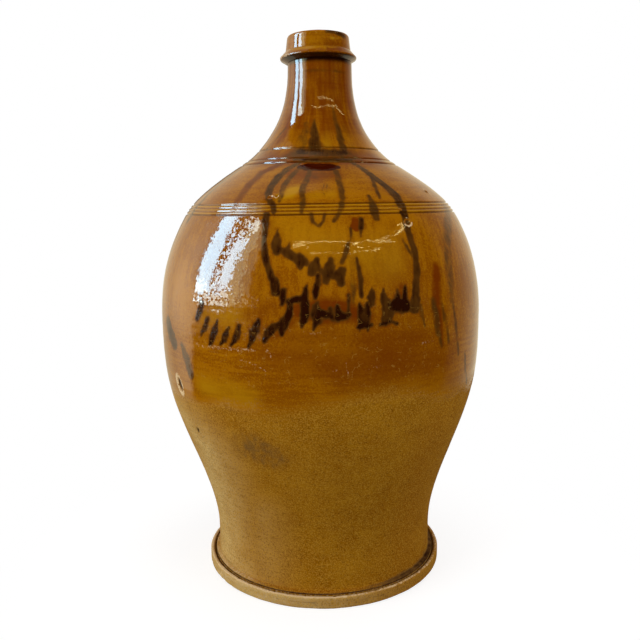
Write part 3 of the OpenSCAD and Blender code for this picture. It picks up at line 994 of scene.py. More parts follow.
    def foot_marks(self, azimuth: Array, height: Array, points: Array) -> dict[Pigment, Array]:
        """Mark the ledge at the base of the wall.

        A dark seam of painted shade runs round the bottom of the ledge, and a broken dark line of painted
        shade, weak at the front, along its corner. The ledge itself is red, darker with painted shade
        towards the right, and paler with painted light at the left.

        Args:
            azimuth: Azimuths in radians, one row.
            height: Heights in metres, one column.
            points: Places of the grid on the wall.
        Returns:
            The density of the iron, of the manganese with the painted shade, and of the scuffs with the
            painted light.
        """
        up = (height - self.form.floor_z) / self.form.ledge_h
        ledge = 1.0 - smooth_step(up, 0.8, 1.2)
        seam = 1.0 - smooth_step(up, 0.22, 0.50)
        right = smooth_step(np.sin(azimuth), 0.05, 0.95)
        left = smooth_step(-np.sin(azimuth), 0.20, 0.75)
        corner = bell(up - 1.2, 0.28) * (0.75 + 0.5 * lattice_noise(points, 14 * MM, Seed.CORNER))
        corner = corner * (1.0 - 0.8 * bell(np.sin(azimuth), 0.42))
        # Painted shade in the seam and along the corner.
        dark = np.maximum(0.34 * corner, 0.95 * seam)
        # Painted shade darkens the right side and painted light pales the left.
        return {
            Pigment.IRON: ledge * (0.9 - 0.4 * right - 0.6 * left),
            Pigment.MANGANESE_AND_SHADE: np.maximum((0.06 + 0.85 * right) * ledge, dark),
            Pigment.SCUFF_AND_LIGHT: 0.42 * left * ledge * (1.0 - seam),
        }

    def paint(self, azimuth: Array, height: Array) -> dict[str, Array]:
        """Work out what lies on the skin.

        The strokes and the marks at the base come first, with the painted shade and light among them. Iron
        tints the neck, glaze pools in the grooves, and a dark band of painted shade lies under the collar,
        fading round the sides. Each scar clears the stain round it, darkens its middle with painted shade
        and bares its rim, pale as clay and as a painted highlight. The glaze is coarse at the left of the
        belly.

        Args:
            azimuth: Azimuths in radians, one row.
            height: Heights in metres, one column.
        Returns:
            Named fields: the stain of manganese with the painted shade, the washes of iron and of ochre
            with the painted light, the height above the glaze's edge, the painted shade under the collar,
            the glaze that pools in the grooves with the painted reflection at the neck's root, the clay that
            shows where the skin is worn or scarred with the painted highlights and lit sides, and how coarse
            the glaze's peel is.
        """
        form = self.form
        points = turned_points(azimuth, form.outer.radius(height), height)
        density = self.pigments(azimuth, height, points)
        foot = self.foot_marks(azimuth, height, points)
        turn = turned_by(azimuth, 0.0)

        # Painted shade: a dark band under the collar, strongest at the front, fading round the sides.
        rise = height - form.collar_z
        collar_shade = smooth_step(rise, -0.0042, -0.0005) * (1.0 - smooth_step(rise, 0.0024, 0.0042))
        collar_shade = collar_shade * (1.0 - 0.6 * smooth_step(np.abs(turn), radians(50.0), radians(85.0)))
        neck = smooth_step(height, form.root_z + 0.003, form.flare_z + 0.024)
        lip = smooth_step(rise, 0.003, 0.0065)
        iron = np.clip(np.maximum(density[Pigment.IRON], (0.61 - 0.44 * lip) * neck), 0.0, 1.0)
        iron = np.maximum(iron, foot[Pigment.IRON])

        apart = np.abs(height[..., None] - form.grooves)
        pool_and_reflection = 1.0 - smooth_step(apart, 0.15 * form.groove_w, 0.55 * form.groove_w)
        pool_and_reflection = (pool_and_reflection * np.array(form.groove_shares)).max(axis=-1)
        pool_and_reflection = pool_and_reflection * (0.7 + 0.3 * lattice_noise(points, 12 * MM, Seed.POOLS))
        # The painted reflection at the neck's root joins the glaze pooled in the grooves.
        pool_and_reflection = np.maximum(pool_and_reflection, density[Pigment.REFLECTION])

        stain_and_shade = np.maximum(density[Pigment.MANGANESE_AND_SHADE], foot[Pigment.MANGANESE_AND_SHADE])
        bare_and_highlight = np.maximum(density[Pigment.SCUFF_AND_LIGHT], foot[Pigment.SCUFF_AND_LIGHT])
        broken = smooth_step(lattice_noise(points, 2.6 * MM, Seed.SCARS), -0.25, 0.25)
        # Each scar darkens its middle with painted shade and pales its rim with a painted highlight.
        for scar in self.scars:
            d = self.scar_frame(scar, azimuth, height)
            middle = scar.stain_and_shade * (1.0 - smooth_step(d, 0.35, 0.85))
            stain_and_shade = np.maximum(stain_and_shade * smooth_step(d, 0.9, 1.2), middle)
            whole = 1.0 if scar.length > self.whole_scar else broken
            bare_and_highlight = np.maximum(bare_and_highlight, scar.bare_and_highlight * whole * bell(d - 1.0, 0.30))

        coarse = 0.16 * bell(turn + radians(52.0), radians(24.0)) * smooth_step(height, 0.19, 0.23)
        coarse = np.maximum(coarse, density[Pigment.COARSE])
        return {
            "stain_and_shade": stain_and_shade,
            "iron": iron,
            "ochre_and_light": np.maximum(density[Pigment.OCHRE_AND_LIGHT] * (1.0 - iron), 0.7 * self.ridges(height) ** 2),
            "glaze": np.clip(self.glaze_height(azimuth, height), -3.0, 3.0),
            "collar_shade": collar_shade,
            "pool_and_reflection": pool_and_reflection,
            "wear_and_light": bare_and_highlight,
            "coarse": coarse * (1.0 - smooth_step(height, form.shoulder_z - 0.004, form.shoulder_z)),
        }


SKIN_DEFAULTS = {
    "stain_and_shade": 0.0, "iron": 0.4, "ochre_and_light": 0.0, "glaze": 3.0, "collar_shade": 0.0, "pool_and_reflection": 0.0, "wear_and_light": 0.0,
    "coarse": 0.0,
}


@dataclass(frozen=True)
class Profile:
    """Closed section of a turned piece, and the rows of it that are outer skin.

    The points have a radius and a height in metres and run anticlockwise with the axis on the left.
    """

    points: Array
    skin: slice

    @property
    def skin_heights(self) -> Array:
        """Heights of the outer skin's rows, as a column."""
        return self.points[self.skin, 1:2]


@dataclass(frozen=True)
class Wire:
    """What a node gives. Numbers take the signs of plain sums, and each sign adds a Math node."""

    sheet: "NodeSheet"
    socket: bpy.types.NodeSocket

    def __add__(self, other: "Wire | float") -> "Wire":
        """Sum with another number."""
        return self.sheet.math("ADD", self, other)

    def __sub__(self, other: "Wire | float") -> "Wire":
        """This number less another one."""
        return self.sheet.math("SUBTRACT", self, other)

    def __rsub__(self, other: float) -> "Wire":
        """A plain number less this one."""
        return self.sheet.math("SUBTRACT", other, self)

    def __mul__(self, other: "Wire | float") -> "Wire":
        """Product with another number."""
        return self.sheet.math("MULTIPLY", self, other)

    __radd__ = __add__
    __rmul__ = __mul__


Value = Wire | float | Colour
Inputs = dict[str | int, Value]


class NodeSheet:
    """Sheet of shader nodes, with short words for the nodes that the finishes use."""

    def __init__(self, owner: bpy.types.Material | bpy.types.World) -> None:
        """Start with an empty sheet.

        Args:
            owner: Material or world that the sheet belongs to.
        """
        owner.use_nodes = True
        self.tree = owner.node_tree
        self.tree.nodes.clear()

    def node(self, kind: str, inputs: Inputs, **settings: str) -> bpy.types.Node:
        """Add a node, make its settings, and link its inputs to wires or set them to plain values.

        Args:
            kind: Type of the node.
            inputs: Value of each input, by its name or its number.
            settings: Value of each setting, by its name.
        Returns:
            The node.
        """
        made = self.tree.nodes.new(kind)
        for key, value in settings.items():
            setattr(made, key, value)
        for key, value in inputs.items():
            socket = made.inputs[key]
            if isinstance(value, Wire):
                self.tree.links.new(value.socket, socket)
            elif isinstance(value, tuple) and socket.type == "RGBA":
                socket.default_value = (*value, 1.0)
            else:
                socket.default_value = value
        return made

    def out(self, node: bpy.types.Node, output: str | int) -> Wire:
        """Wire from an output of a node, by its name or its number."""
        return Wire(self, node.outputs[output])

    def math(self, operation: str, first: Value, second: Value) -> Wire:
        """Work out one sum of two numbers."""
        return self.out(self.node("ShaderNodeMath", {0: first, 1: second}, operation=operation), 0)

    def vector(self, operation: str, inputs: Inputs, output: str = "Vector") -> Wire:
        """Work out one sum of vectors."""
        return self.out(self.node("ShaderNodeVectorMath", inputs, operation=operation), output)

    def attribute(self, name: str) -> Wire:
        """Read a number that the mesh carries."""
        return self.out(self.node("ShaderNodeAttribute", {}, attribute_name=name), "Fac")

    def place(self) -> Wire:
        """Object coordinates."""
        return self.out(self.node("ShaderNodeTexCoord", {}), "Object")

    def height(self) -> Wire:
        """Height in Object coordinates."""
        return self.out(self.node("ShaderNodeSeparateXYZ", {0: self.place()}), "Z")

    def stretched(self, scale: tuple[float, float, float]) -> Wire:
        """Object coordinates, scaled along the axes. What is drawn on a scale below 1 comes out longer."""
        return self.out(self.node("ShaderNodeMapping", {"Vector": self.place(), "Scale": scale}), "Vector")

    def unrolled(self, radius: float, rise: float) -> Wire:
        """Object coordinates carried out from the axis to one radius, so that what is drawn there runs down.

        Args:
            radius: Radius in metres.
            rise: Share of the height that is kept.
        Returns:
            The carried place.
        """
        flat = self.vector("NORMALIZE", {0: self.stretched((1.0, 1.0, 0.0))})
        wide = self.vector("SCALE", {0: flat, "Scale": radius})
        return self.vector("ADD", {0: wide, 1: self.stretched((0.0, 0.0, rise))})

    def noise(self, scale: float, detail: float, place: Wire | None = None) -> Wire:
        """Add noise on Object coordinates, or on a place made from them.

        Args:
            scale: Lumps to the metre.
            detail: Number of finer layers.
            place: Place to use instead of the plain coordinates.
        Returns:
            A number about 0.5.
        """
        inputs = {"Vector": place or self.place(), "Scale": scale, "Detail": detail}
        return self.out(self.node("ShaderNodeTexNoise", inputs), "Fac")

    def facets(self, scale: float) -> Wire:
        """Lay flat facets on Object coordinates, each tilted its own way.

        Each cell of a Voronoi pattern has a random slope, and its height is that slope times the way from
        the cell's middle.

        Args:
            scale: Facets to the metre.
        Returns:
            Heights in metres, for slopes of up to a half along each axis.
        """
        place = self.place()
        cells = self.node("ShaderNodeTexVoronoi", {"Vector": place, "Scale": scale})
        way = self.vector("SUBTRACT", {0: place, 1: self.out(cells, "Position")})
        slope = self.vector("SUBTRACT", {0: self.out(cells, "Color"), 1: (0.5, 0.5, 0.5)})
        return self.vector("DOT_PRODUCT", {0: way, 1: slope}, "Value")

    def ease(self, value: Value, low: float, high: float) -> Wire:
        """Ease a number from 0 at low to 1 at high."""
        inputs = {"Value": value, "From Min": low, "From Max": high}
        return self.out(self.node("ShaderNodeMapRange", inputs, interpolation_type="SMOOTHSTEP"), "Result")

    def zone(self, value: Value, rise: tuple[float, float], fall: tuple[float, float]) -> Wire:
        """Ease a number from 0 up to 1 along the rise, and back to 0 along the fall."""
        return self.ease(value, *rise) - self.ease(value, *fall)

    def between(self, share: Value, first: Value, second: Value) -> Wire:
        """Blend two numbers by a share of the second."""
        return self.out(self.node("ShaderNodeMix", {0: share, 2: first, 3: second}, data_type="FLOAT"), 0)

    def blend(self, share: Value, first: Value, second: Value) -> Wire:
        """Blend two colours by a share of the second."""
        return self.out(self.node("ShaderNodeMix", {0: share, 6: first, 7: second}, data_type="RGBA"), 2)

    def layered(self, colour: Wire, *layers: tuple[Value, Colour]) -> Wire:
        """Lay colours over one another.

        Args:
            colour: Colour that lies lowest.
            layers: Share and colour of each layer over it, in order.
        Returns:
            The colour that shows.
        """
        for share, over in layers:
            colour = self.blend(share, colour, over)
        return colour

    def rays(self, *kinds: str) -> Wire:
        """Tell the rays of some kinds, with a number that is 1 for them and 0 for the others."""
        path = self.node("ShaderNodeLightPath", {})
        return reduce(partial(self.math, "MAXIMUM"), (self.out(path, kind) for kind in kinds))


@dataclass(frozen=True)
class SkinFinish:
    """Finish of the bottle's skin: clay, glaze and pigments, with colours in linear red, green and blue.

    The heights of the peel and the grain are in millimetres.
    """

    slot: Slot
    index: float = 1.6
    amber_deep: Colour = (0.258, 0.073, 0.0006)
    amber_light: Colour = (0.380, 0.134, 0.0012)
    # Ochre of the washes and grains, also the painted highlight along the collar's crease.
    ochre_and_light: Colour = (0.450, 0.208, 0.0030)
    iron: Colour = (0.172, 0.031, 0.0005)
    # Dark red of glaze pooled in the grooves, also the painted reflection at the neck's root.
    pooled_and_reflected: Colour = (0.044, 0.0040, 0.0005)
    # Thin and thick manganese, also the painted shade at the base, in the foot's gutter and in the scars.
    stain_and_shade_thin: Colour = (0.092, 0.034, 0.0042)
    stain_and_shade_thick: Colour = (0.024, 0.0046, 0.0011)
    clay_deep: Colour = (0.275, 0.100, 0.0012)
    clay_light: Colour = (0.385, 0.162, 0.0045)
    # Pale clay of the ochre washes, also the painted sheen at the clay's left and the foot's lit side.
    clay_pale: Colour = (0.640, 0.440, 0.1650)
    clay_bright: Colour = (0.530, 0.265, 0.0280)
    clay_fleck: Colour = (0.120, 0.042, 0.0020)
    # Thin dark on the clay, also the painted shade at the base.
    clay_darkened: Colour = (0.125, 0.068, 0.0240)
    clay_red: Colour = (0.262, 0.080, 0.0004)
    # Pale scratches, each with a painted glint.
    scratch_and_glint: Colour = (0.520, 0.290, 0.0500)
    # Pale worn clay, also the colour of the painted highlights and lit sides.
    worn_and_lit: Colour = (0.740, 0.530, 0.2800)
    # Near black of the painted shade under the collar.
    collar_shade: Colour = (0.012, 0.0022, 0.0004)
    glaze_rough: float = 0.05
    clay_rough: float = 1.0
    worn_rough: float = 0.82
    peel_height: float = 0.050
    grain_height: float = 0.026
    facet_slope: float = 0.24
    clay_shine: float = 0.03

    def scratch_glints(self, sheet: NodeSheet, height: Wire) -> Wire:
        """Short, thin scratches over the lower belly.

        They lie on the borders between small cells, wherever a wider noise passes a threshold. Their pale
        colour is worn glaze with a painted glint on each.

        Args:
            sheet: Node sheet of the material.
            height: Height on the bottle.
        Returns:
            A share, 1 on a scratch.
        """
        inputs = {"Vector": sheet.stretched((1.0, 1.0, 1.5)), "Scale": 240.0}
        cells = sheet.node("ShaderNodeTexVoronoi", inputs, feature="DISTANCE_TO_EDGE")
        line = 1.0 - sheet.ease(sheet.out(cells, "Distance"), 0.02, 0.08)
        where = sheet.ease(sheet.noise(230.0, 2.0), 0.56, 0.68)
        return line * where * sheet.zone(height, (0.172, 0.186), (0.215, 0.262))

    def material(self) -> bpy.types.Material:
        """Build the material.

        The glaze is amber that drifts between deep and light in clouds and streaks, which run down the belly
        and the neck and lie level elsewhere, and ochre, iron and manganese stain it. Painted shade, a
        painted reflection and painted highlights are laid in the same fields. The clay below its edge is
        streaked level with fine flecks. Worn clay shows where the skin is rubbed, and its pale colour also
        paints the highlights and the lit sides.

        Returns:
            The node material of this finish.
        """
        made = bpy.data.materials.new(self.slot.value)
        sheet = NodeSheet(made)
        ease, zone, painted = sheet.ease, sheet.zone, sheet.attribute
        height = sheet.height()
        cloud = sheet.noise(16.0, 3.0)
        patch = sheet.noise(60.0, 3.0)
        fleck = sheet.noise(700.0, 2.0)
        grain = sheet.noise(1150.0, 1.0)
        level = sheet.noise(420.0, 3.0, sheet.stretched((0.09, 0.09, 1.0)))
        blot = sheet.noise(210.0, 2.0, sheet.stretched((1.0, 1.0, 0.55)))
        run = sheet.noise(330.0, 3.0, sheet.unrolled(0.12, 0.22))
        trail = sheet.noise(300.0, 2.0, sheet.unrolled(0.026, 0.10))
        mottle = 0.5 * patch + 0.5 * level

        shoulder = zone(height, (0.290, 0.298), (0.336, 0.345))
        tall = zone(height, (0.205, 0.240), (0.39, 0.41)) - 0.75 * shoulder
        streak = sheet.between(tall, 1.2 * level - 0.1, run)
        uneven = 0.20 + 1.6 * mottle + 2.0 * ((trail - 0.5) * ease(height, 0.338, 0.350))
        ochre_and_light = painted("ochre_and_light") * uneven
        iron = painted("iron") * uneven
        mark = painted("stain_and_shade")
        stain_and_shade = mark * (0.60 + 0.80 * streak) + 0.80 * ((blot - 0.5) * ease(mark, 0.0, 0.30))
        thin = 0.94 * ease(stain_and_shade, 0.04, 0.62)
        thick = ease(stain_and_shade, 0.50, 1.20)

        drift = 0.42 * cloud + 0.30 * streak + 0.28 * fleck
        glazed = sheet.layered(
            sheet.blend(ease(drift, 0.42, 0.58), self.amber_deep, self.amber_light),
            (ochre_and_light, self.ochre_and_light),
            (0.40 * ease(grain, 0.56, 0.68), self.ochre_and_light),
            (ease(iron, 0.0, 1.0), self.iron),
            # Glaze pooled in the grooves, and the painted reflection at the neck's root.
            (0.8 * painted("pool_and_reflection"), self.pooled_and_reflected),
            (thin, self.stain_and_shade_thin),
            (thick, self.stain_and_shade_thick),
            (painted("collar_shade"), self.collar_shade),
            (0.34 * self.scratch_glints(sheet, height), self.scratch_and_glint),
        )
        earth = 0.35 * level + 0.65 * patch
        clay = sheet.layered(
            sheet.blend(ease(earth, 0.27, 0.73), self.clay_deep, self.clay_light),
            (0.7 * iron, self.clay_red),
            # Pale ochre on the clay, with the painted sheen at its left and the painted light on the foot's
            # lit side.
            (ochre_and_light, self.clay_pale),
            (0.48 * ease(fleck, 0.50, 0.66), self.clay_fleck),
            (0.62 * ease(grain, 0.47, 0.60), self.clay_bright),
            (0.8 * thin, self.clay_darkened),
            (thick, self.stain_and_shade_thick),
        )
        glass = ease(painted("glaze") + (3.0 * (mottle - 0.5) + 2.4 * (fleck - 0.5)), -1.2, 1.2)
        pale_share = painted("wear_and_light")
        wear_and_light = ease(pale_share + 2.6 * (fleck - 0.5) * pale_share, 0.25, 0.75)

        gloss = self.glaze_rough - 0.02 + 0.04 * patch
        matt = sheet.between(sheet.math("POWER", 1.0 - glass, 3.0), gloss, self.clay_rough)
        peel = self.peel_height * sheet.noise(260.0, 1.0) + self.grain_height * sheet.noise(560.0, 1.0)
        peel = peel + self.facet_slope / MM * sheet.facets(640.0) * painted("coarse")
        grit = 0.20 * fleck + 0.10 * grain
        relief = {"Strength": 1.0, "Distance": MM, "Height": sheet.between(glass, grit, peel)}
        shine = sheet.math("MAXIMUM", ease(glass, 0.45, 1.0), self.clay_shine) * (1.0 - wear_and_light)
        shader = sheet.node("ShaderNodeBsdfPrincipled", {
            "Base Color": sheet.blend(wear_and_light, sheet.blend(glass, clay, glazed), self.worn_and_lit),
            "Roughness": sheet.between(wear_and_light, matt, self.worn_rough),
            "IOR": self.index,
            "Specular Tint": sheet.blend(shine, BLACK, WHITE),
            "Normal": sheet.out(sheet.node("ShaderNodeBump", relief), "Normal"),
        })
        sheet.node("ShaderNodeOutputMaterial", {"Surface": sheet.out(shader, "BSDF")})
        return made


@dataclass
class Workshop:
    """What all sub-assemblies share: the form, the skin and one material for each slot.

    Edges that turn by more than the sharp angle, in degrees, stay sharp.
    """

    form: BottleForm
    skin: Skin
    materials: dict[Slot, bpy.types.Material]
    sharp_angle: float = 38.0

    def columns(self, count: int, crowd: float = 0.45) -> Array:
        """Azimuths of the columns: even turns, crowded towards the front by a sine."""
        turn = tau * np.arange(count) / count
        return turn - crowd * np.sin(turn)

    def piece(self, name: str, slot: Slot, points: Array, fields: dict[str, Array | float],
              poles: bool = False) -> bpy.types.Object:
        """Make the dressed piece of a node from its grid of turned points.

        Args:
            name: Name of the node.
            slot: Material slot of the record.
            points: Places with rows, columns and x, y, z.
            fields: Numbers for the rows and columns, to keep as attributes.
            poles: True where the first and last rows close on the axis.
        Returns:
            The object, which stands for the node.
        """
        mesh = self.turned_mesh(name, points, fields, poles)
        mesh.materials.append(self.materials[slot])
        piece = bpy.data.objects.new(f"dressed_{name}", mesh)
        bpy.context.collection.objects.link(piece)
        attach(piece, "root")
        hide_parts(name)
        return piece

    def turned_mesh(self, name: str, points: Array, fields: dict[str, Array | float],
                    poles: bool) -> bpy.types.Mesh:
        """Put a grid of turned points into a mesh.

        Row i and column j meet at vertex i * columns + j, each quad joins two rows and two columns, and both
        directions close on themselves. With poles, the rows stay open and a fan closes each end on the axis.

        Args:
            name: Name of the node.
            points: Places with rows, columns and x, y, z.
            fields: Numbers for the rows and columns, to keep as attributes.
            poles: True where the first and last rows close on the axis.
        Returns:
            The mesh, with its faces pointing outwards.
        """
        rows, columns = points.shape[:2]
        first = np.arange(rows - 1 if poles else rows)[:, None] * columns
        second = (first + columns) % (rows * columns)
        j = np.arange(columns)
        k = (j + 1) % columns
        quads = np.stack((first + j, first + k, second + k, second + j), axis=-1).reshape(-1, 4)
        loops = quads.ravel()
        sizes = np.full(len(quads), 4)
        places = points.reshape(-1, 3)
        if poles:
            ends = places[[0, -1]] * np.array((0.0, 0.0, 1.0))
            low, high = len(places), len(places) + 1
            top = (rows - 1) * columns
            fans = np.concatenate((
                np.stack((k, j, np.full(columns, low)), axis=-1),
                np.stack((top + j, top + k, np.full(columns, high)), axis=-1),
            ))
            places = np.concatenate((places, ends))
            loops = np.concatenate((loops, fans.ravel()))
            sizes = np.concatenate((sizes, np.full(len(fans), 3)))
        mesh = bpy.data.meshes.new(f"dressed_{name}")
        mesh.vertices.add(len(places))
        mesh.vertices.foreach_set("co", places.ravel().astype(np.float32))
        mesh.loops.add(len(loops))
        mesh.loops.foreach_set("vertex_index", loops.astype(np.int32))
        mesh.polygons.add(len(sizes))
        starts = np.concatenate(((0,), np.cumsum(sizes)[:-1]))
        mesh.polygons.foreach_set("loop_start", starts.astype(np.int32))
        mesh.polygons.foreach_set("loop_total", sizes.astype(np.int32))
        mesh.update(calc_edges=True)
        mesh.polygons.foreach_set("use_smooth", np.ones(len(sizes), bool))
        mesh.set_sharp_from_angle(angle=radians(self.sharp_angle))
        for key, rest in SKIN_DEFAULTS.items():
            values = np.full(len(places), rest, np.float32)
            values[:rows * columns] = np.broadcast_to(fields.get(key, rest), (rows, columns)).ravel()
            mesh.attributes.new(key, "FLOAT", "POINT").data.foreach_set("value", values)
        mesh.validate()
        return mesh

    def skinned(self, profile: Profile, azimuth: Array) -> tuple[Array, dict[str, Array]]:
        """Turn a profile, with the relief and paint of the skin on its outer rows.

        Args:
            profile: Section of the piece.
            azimuth: Azimuths of the columns.
        Returns:
            Places with rows, columns and x, y, z, and the skin's fields for each row and column.
        """
        radius, height = (np.repeat(c[:, None], len(azimuth), axis=1) for c in profile.points.T)
        rows = profile.skin
        z = profile.skin_heights
        lean = self.form.outer.lean(z)
        square = np.sqrt(1.0 + lean**2)
        relief = self.skin.offset(azimuth[None, :], z)
        radius[rows] += relief / square
        height[rows] -= relief * lean / square
        fields = {key: np.full(radius.shape, rest) for key, rest in SKIN_DEFAULTS.items()}
        for key, values in self.skin.paint(azimuth[None, :], z).items():
            fields[key][rows] = values
        return turned_points(azimuth, radius, height), fields

    def thrown_profile(self, low: float, high: float, step: float, inner_step: float,
                       seat: tuple[tuple[float, float], ...] = ()) -> Profile:
        """Section of thrown wall between two seams: a tongue below, a socket above.

        Args:
            low: Height of the seam below.
            high: Height of the seam above.
            step: Distance along the wall between two outer rows.
            inner_step: Rise between two inner rows.
            seat: Points of the collar's seat above the outer wall, if any.
        Returns:
            The section, whose outer wall is skin.
        """
        form = self.form
        tongue = form.tongue(low)
        rows = form.rows(low, min(high, form.collar_z), step)
        outside = np.column_stack((form.outer.radius(rows), rows))
        down = np.linspace(high, low, round((high - low) / inner_step) + 1)
        if low < form.bore_z < high:
            down = np.sort(np.append(down, form.bore_z))[::-1]
        inside = np.column_stack((form.inner.radius(down), down))
        seat_points = np.array(seat).reshape(-1, 2)
        points = np.concatenate((tongue, outside, seat_points, form.socket(high), inside))
        return Profile(points, slice(len(tongue), len(tongue) + len(rows)))


def arc(centre: tuple[float, float], radius: float, start: float, end: float, steps: int) -> Array:
    """Points of a rounded corner about a centre, between two angles in degrees."""
    angle = np.radians(np.linspace(start, end, steps + 1))
    return np.column_stack((centre[0] + radius * np.cos(angle), centre[1] + radius * np.sin(angle)))


def refined(points: Array, step: float) -> Array:
    """Split the long straight sides of a closed section into even steps.

    Args:
        points: Corners of the section in order.
        step: Longest side to leave, in metres.
    Returns:
        The corners with the added points between them.
    """
    after = np.roll(points, -1, axis=0)
    counts = np.maximum(1, np.ceil(np.hypot(*(after - points).T) / step)).astype(int)
    owner = np.repeat(np.arange(len(points)), counts)
    share = (np.arange(len(owner)) - np.repeat(np.cumsum(counts) - counts, counts)) / counts[owner]
    return points[owner] + share[:, None] * (after - points)[owner]


def dented(section: Array, azimuth: Array, relief: Array) -> Array:
    """Turn a closed section whose points are moved out along its normals.

    A normal is square to the line between the points before and after.

    Args:
        section: Radius and height of the section's points.
        azimuth: Azimuths of the columns.
        relief: Distances out in metres, with rows and columns.
    Returns:
        Places with rows, columns and x, y, z.
    """
    way = np.roll(section, -1, axis=0) - np.roll(section, 1, axis=0)
    out = np.column_stack((way[:, 1], -way[:, 0])) / np.hypot(*way.T)[:, None]
    return turned_points(azimuth, section[:, :1] + out[:, :1] * relief, section[:, 1:] + out[:, 1:] * relief)


@dataclass
class Foot:
    """Floor disc and the worn foot ring set round it. Sizes are in metres, and the chips are in degrees."""

    shop: Workshop
    disc_columns: int = 240
    disc_rings: int = 9
    hub_r: float = 0.012
    ring_columns: int = 960
    ring_step: float = 0.0008
    foot_h: float = 0.0094
    rim_w: float = 0.0034
    gutter_w: float = 0.0014
    gutter_h: float = 0.0022
    rim_round: float = 0.0016
    chips: tuple[float, ...] = (-44.5, -26.0, -23.7, -17.0, -8.7, 33.4, 121.0, 164.0, 209.0, 262.0)
    chip_spread: float = 0.55

    def build(self) -> tuple[bpy.types.Object, ...]:
        """Build and dress both pieces."""
        return self.floor_disc(), self.foot_ring()

    def floor_disc(self) -> bpy.types.Object:
        """Flat disc that closes the bottom.

        Its section runs from the axis along the underside, up the edge, round the socket and back to the
        axis. The underside is pressed a little uneven.

        Returns:
            The dressed piece.
        """
        form = self.shop.form
        r, top = form.floor_r, form.floor_z
        socket = form.socket(top)
        rings = self.disc_rings
        under = np.column_stack((np.linspace(self.hub_r, r, rings), np.zeros(rings)))
        over = np.column_stack((np.linspace(socket[-1, 0], self.hub_r, rings), np.full(rings, top)))
        section = np.concatenate((under, ((r, top),), socket, over[1:]))
        points = turned_points(self.shop.columns(self.disc_columns, 0.0), section[:, :1], section[:, 1:])
        pressed = points[:rings - 1]
        pressed[..., 2] += 0.12 * MM * (1.0 + lattice_noise(pressed, 22 * MM, Seed.UNDERSIDE))
        fields = {"glaze": -3.0, "wear_and_light": 0.35}
        return self.shop.piece("floor_disc", Slot.WORN_CLAY, points, fields, poles=True)

    def foot_ring(self) -> bpy.types.Object:
        """Ring with a rounded, chipped rim and a gutter behind it.

        The section is the rim's two rounded edges and the gutter's slope. Noise dents it, and chips bite
        into it where a second noise passes a threshold and, along the top, at a few turns. Painted light
        pales the lit left side, and painted shade darkens the gutter.

        Returns:
            The dressed piece.
        """
        floor_r = self.shop.form.floor_r
        gutter_r = floor_r + self.gutter_w
        foot_r = gutter_r + self.rim_w
        c = self.rim_round
        corners = np.concatenate((
            ((floor_r, 0.0),),
            arc((foot_r - c, c), c, -90, 0, 6),
            arc((foot_r - c, self.foot_h - c), c, 0, 90, 8),
            arc((gutter_r + c, self.foot_h - c), c, 90, 180, 6),
            ((floor_r, self.foot_h - self.gutter_h),),
        ))
        section = refined(corners, self.ring_step)
        r, z = section[:, :1], section[:, 1:]
        azimuth = self.shop.columns(self.ring_columns, 0.25)
        points = turned_points(azimuth, r, z)
        dents = 0.10 * lattice_noise(points, 9 * MM, Seed.DENTS)
        dents = dents + 0.06 * lattice_noise(points, 3.5 * MM, Seed.FINE_DENTS)
        pitted = 0.6 * lattice_noise(points, 7.5 * MM, Seed.PITS)
        pitted = pitted + 0.7 * lattice_noise(points, 2.4 * MM, Seed.FINE_PITS)
        turns = turned_by(azimuth[:, None], np.radians(self.chips))
        chip = bell(turns, radians(self.chip_spread)).max(axis=1)
        over = smooth_step(z, self.foot_h - 1.6 * MM, self.foot_h - 0.5 * MM)
        bite = np.maximum(smooth_step(pitted, 0.42, 0.62), chip * over)
        free = (r > floor_r + 0.4 * MM) & (z > 0.2 * MM)
        points = dented(section, azimuth, MM * np.where(free, dents - 0.40 * bite, 0.0))
        # Painted shade darkens the gutter behind the rim.
        gutter = smooth_step(-r, -gutter_r - 1.2 * MM, -floor_r - 0.3 * MM)
        top = smooth_step(z, self.foot_h - 0.8 * MM, self.foot_h - 0.15 * MM)
        patches = 0.5 + 0.5 * lattice_noise(points * np.array((0.5, 0.5, 1.6)), 5 * MM, Seed.RUBBED)
        # Painted light: the lit left side is paler, through the wear and ochre fields, over the wear on the
        # top edge and at the chips.
        left = smooth_step(-np.sin(azimuth), -0.1, 0.9)
        lit = smooth_step(-np.sin(azimuth), -0.80, 0.35)
        line = bell(z - 0.56 * self.foot_h, 0.55 * MM) * smooth_step(patches, 0.35, 0.65)
        pale_share = 0.03 + 0.24 * lit + 0.07 * left + (0.34 + 0.26 * lit) * top
        pale_share = pale_share + (0.10 * lit + 0.90 * top) * bite
        fields = {
            "glaze": -3.0,
            "wear_and_light": pale_share * (0.65 + 0.70 * patches) * (1.0 - 0.9 * gutter),
            "ochre_and_light": (0.10 + 0.62 * lit + 0.18 * left) * (1.0 - gutter),
            "stain_and_shade": np.maximum(0.85 * gutter, 0.34 * line),
        }
        return self.shop.piece("foot_ring", Slot.WORN_CLAY, points, fields)


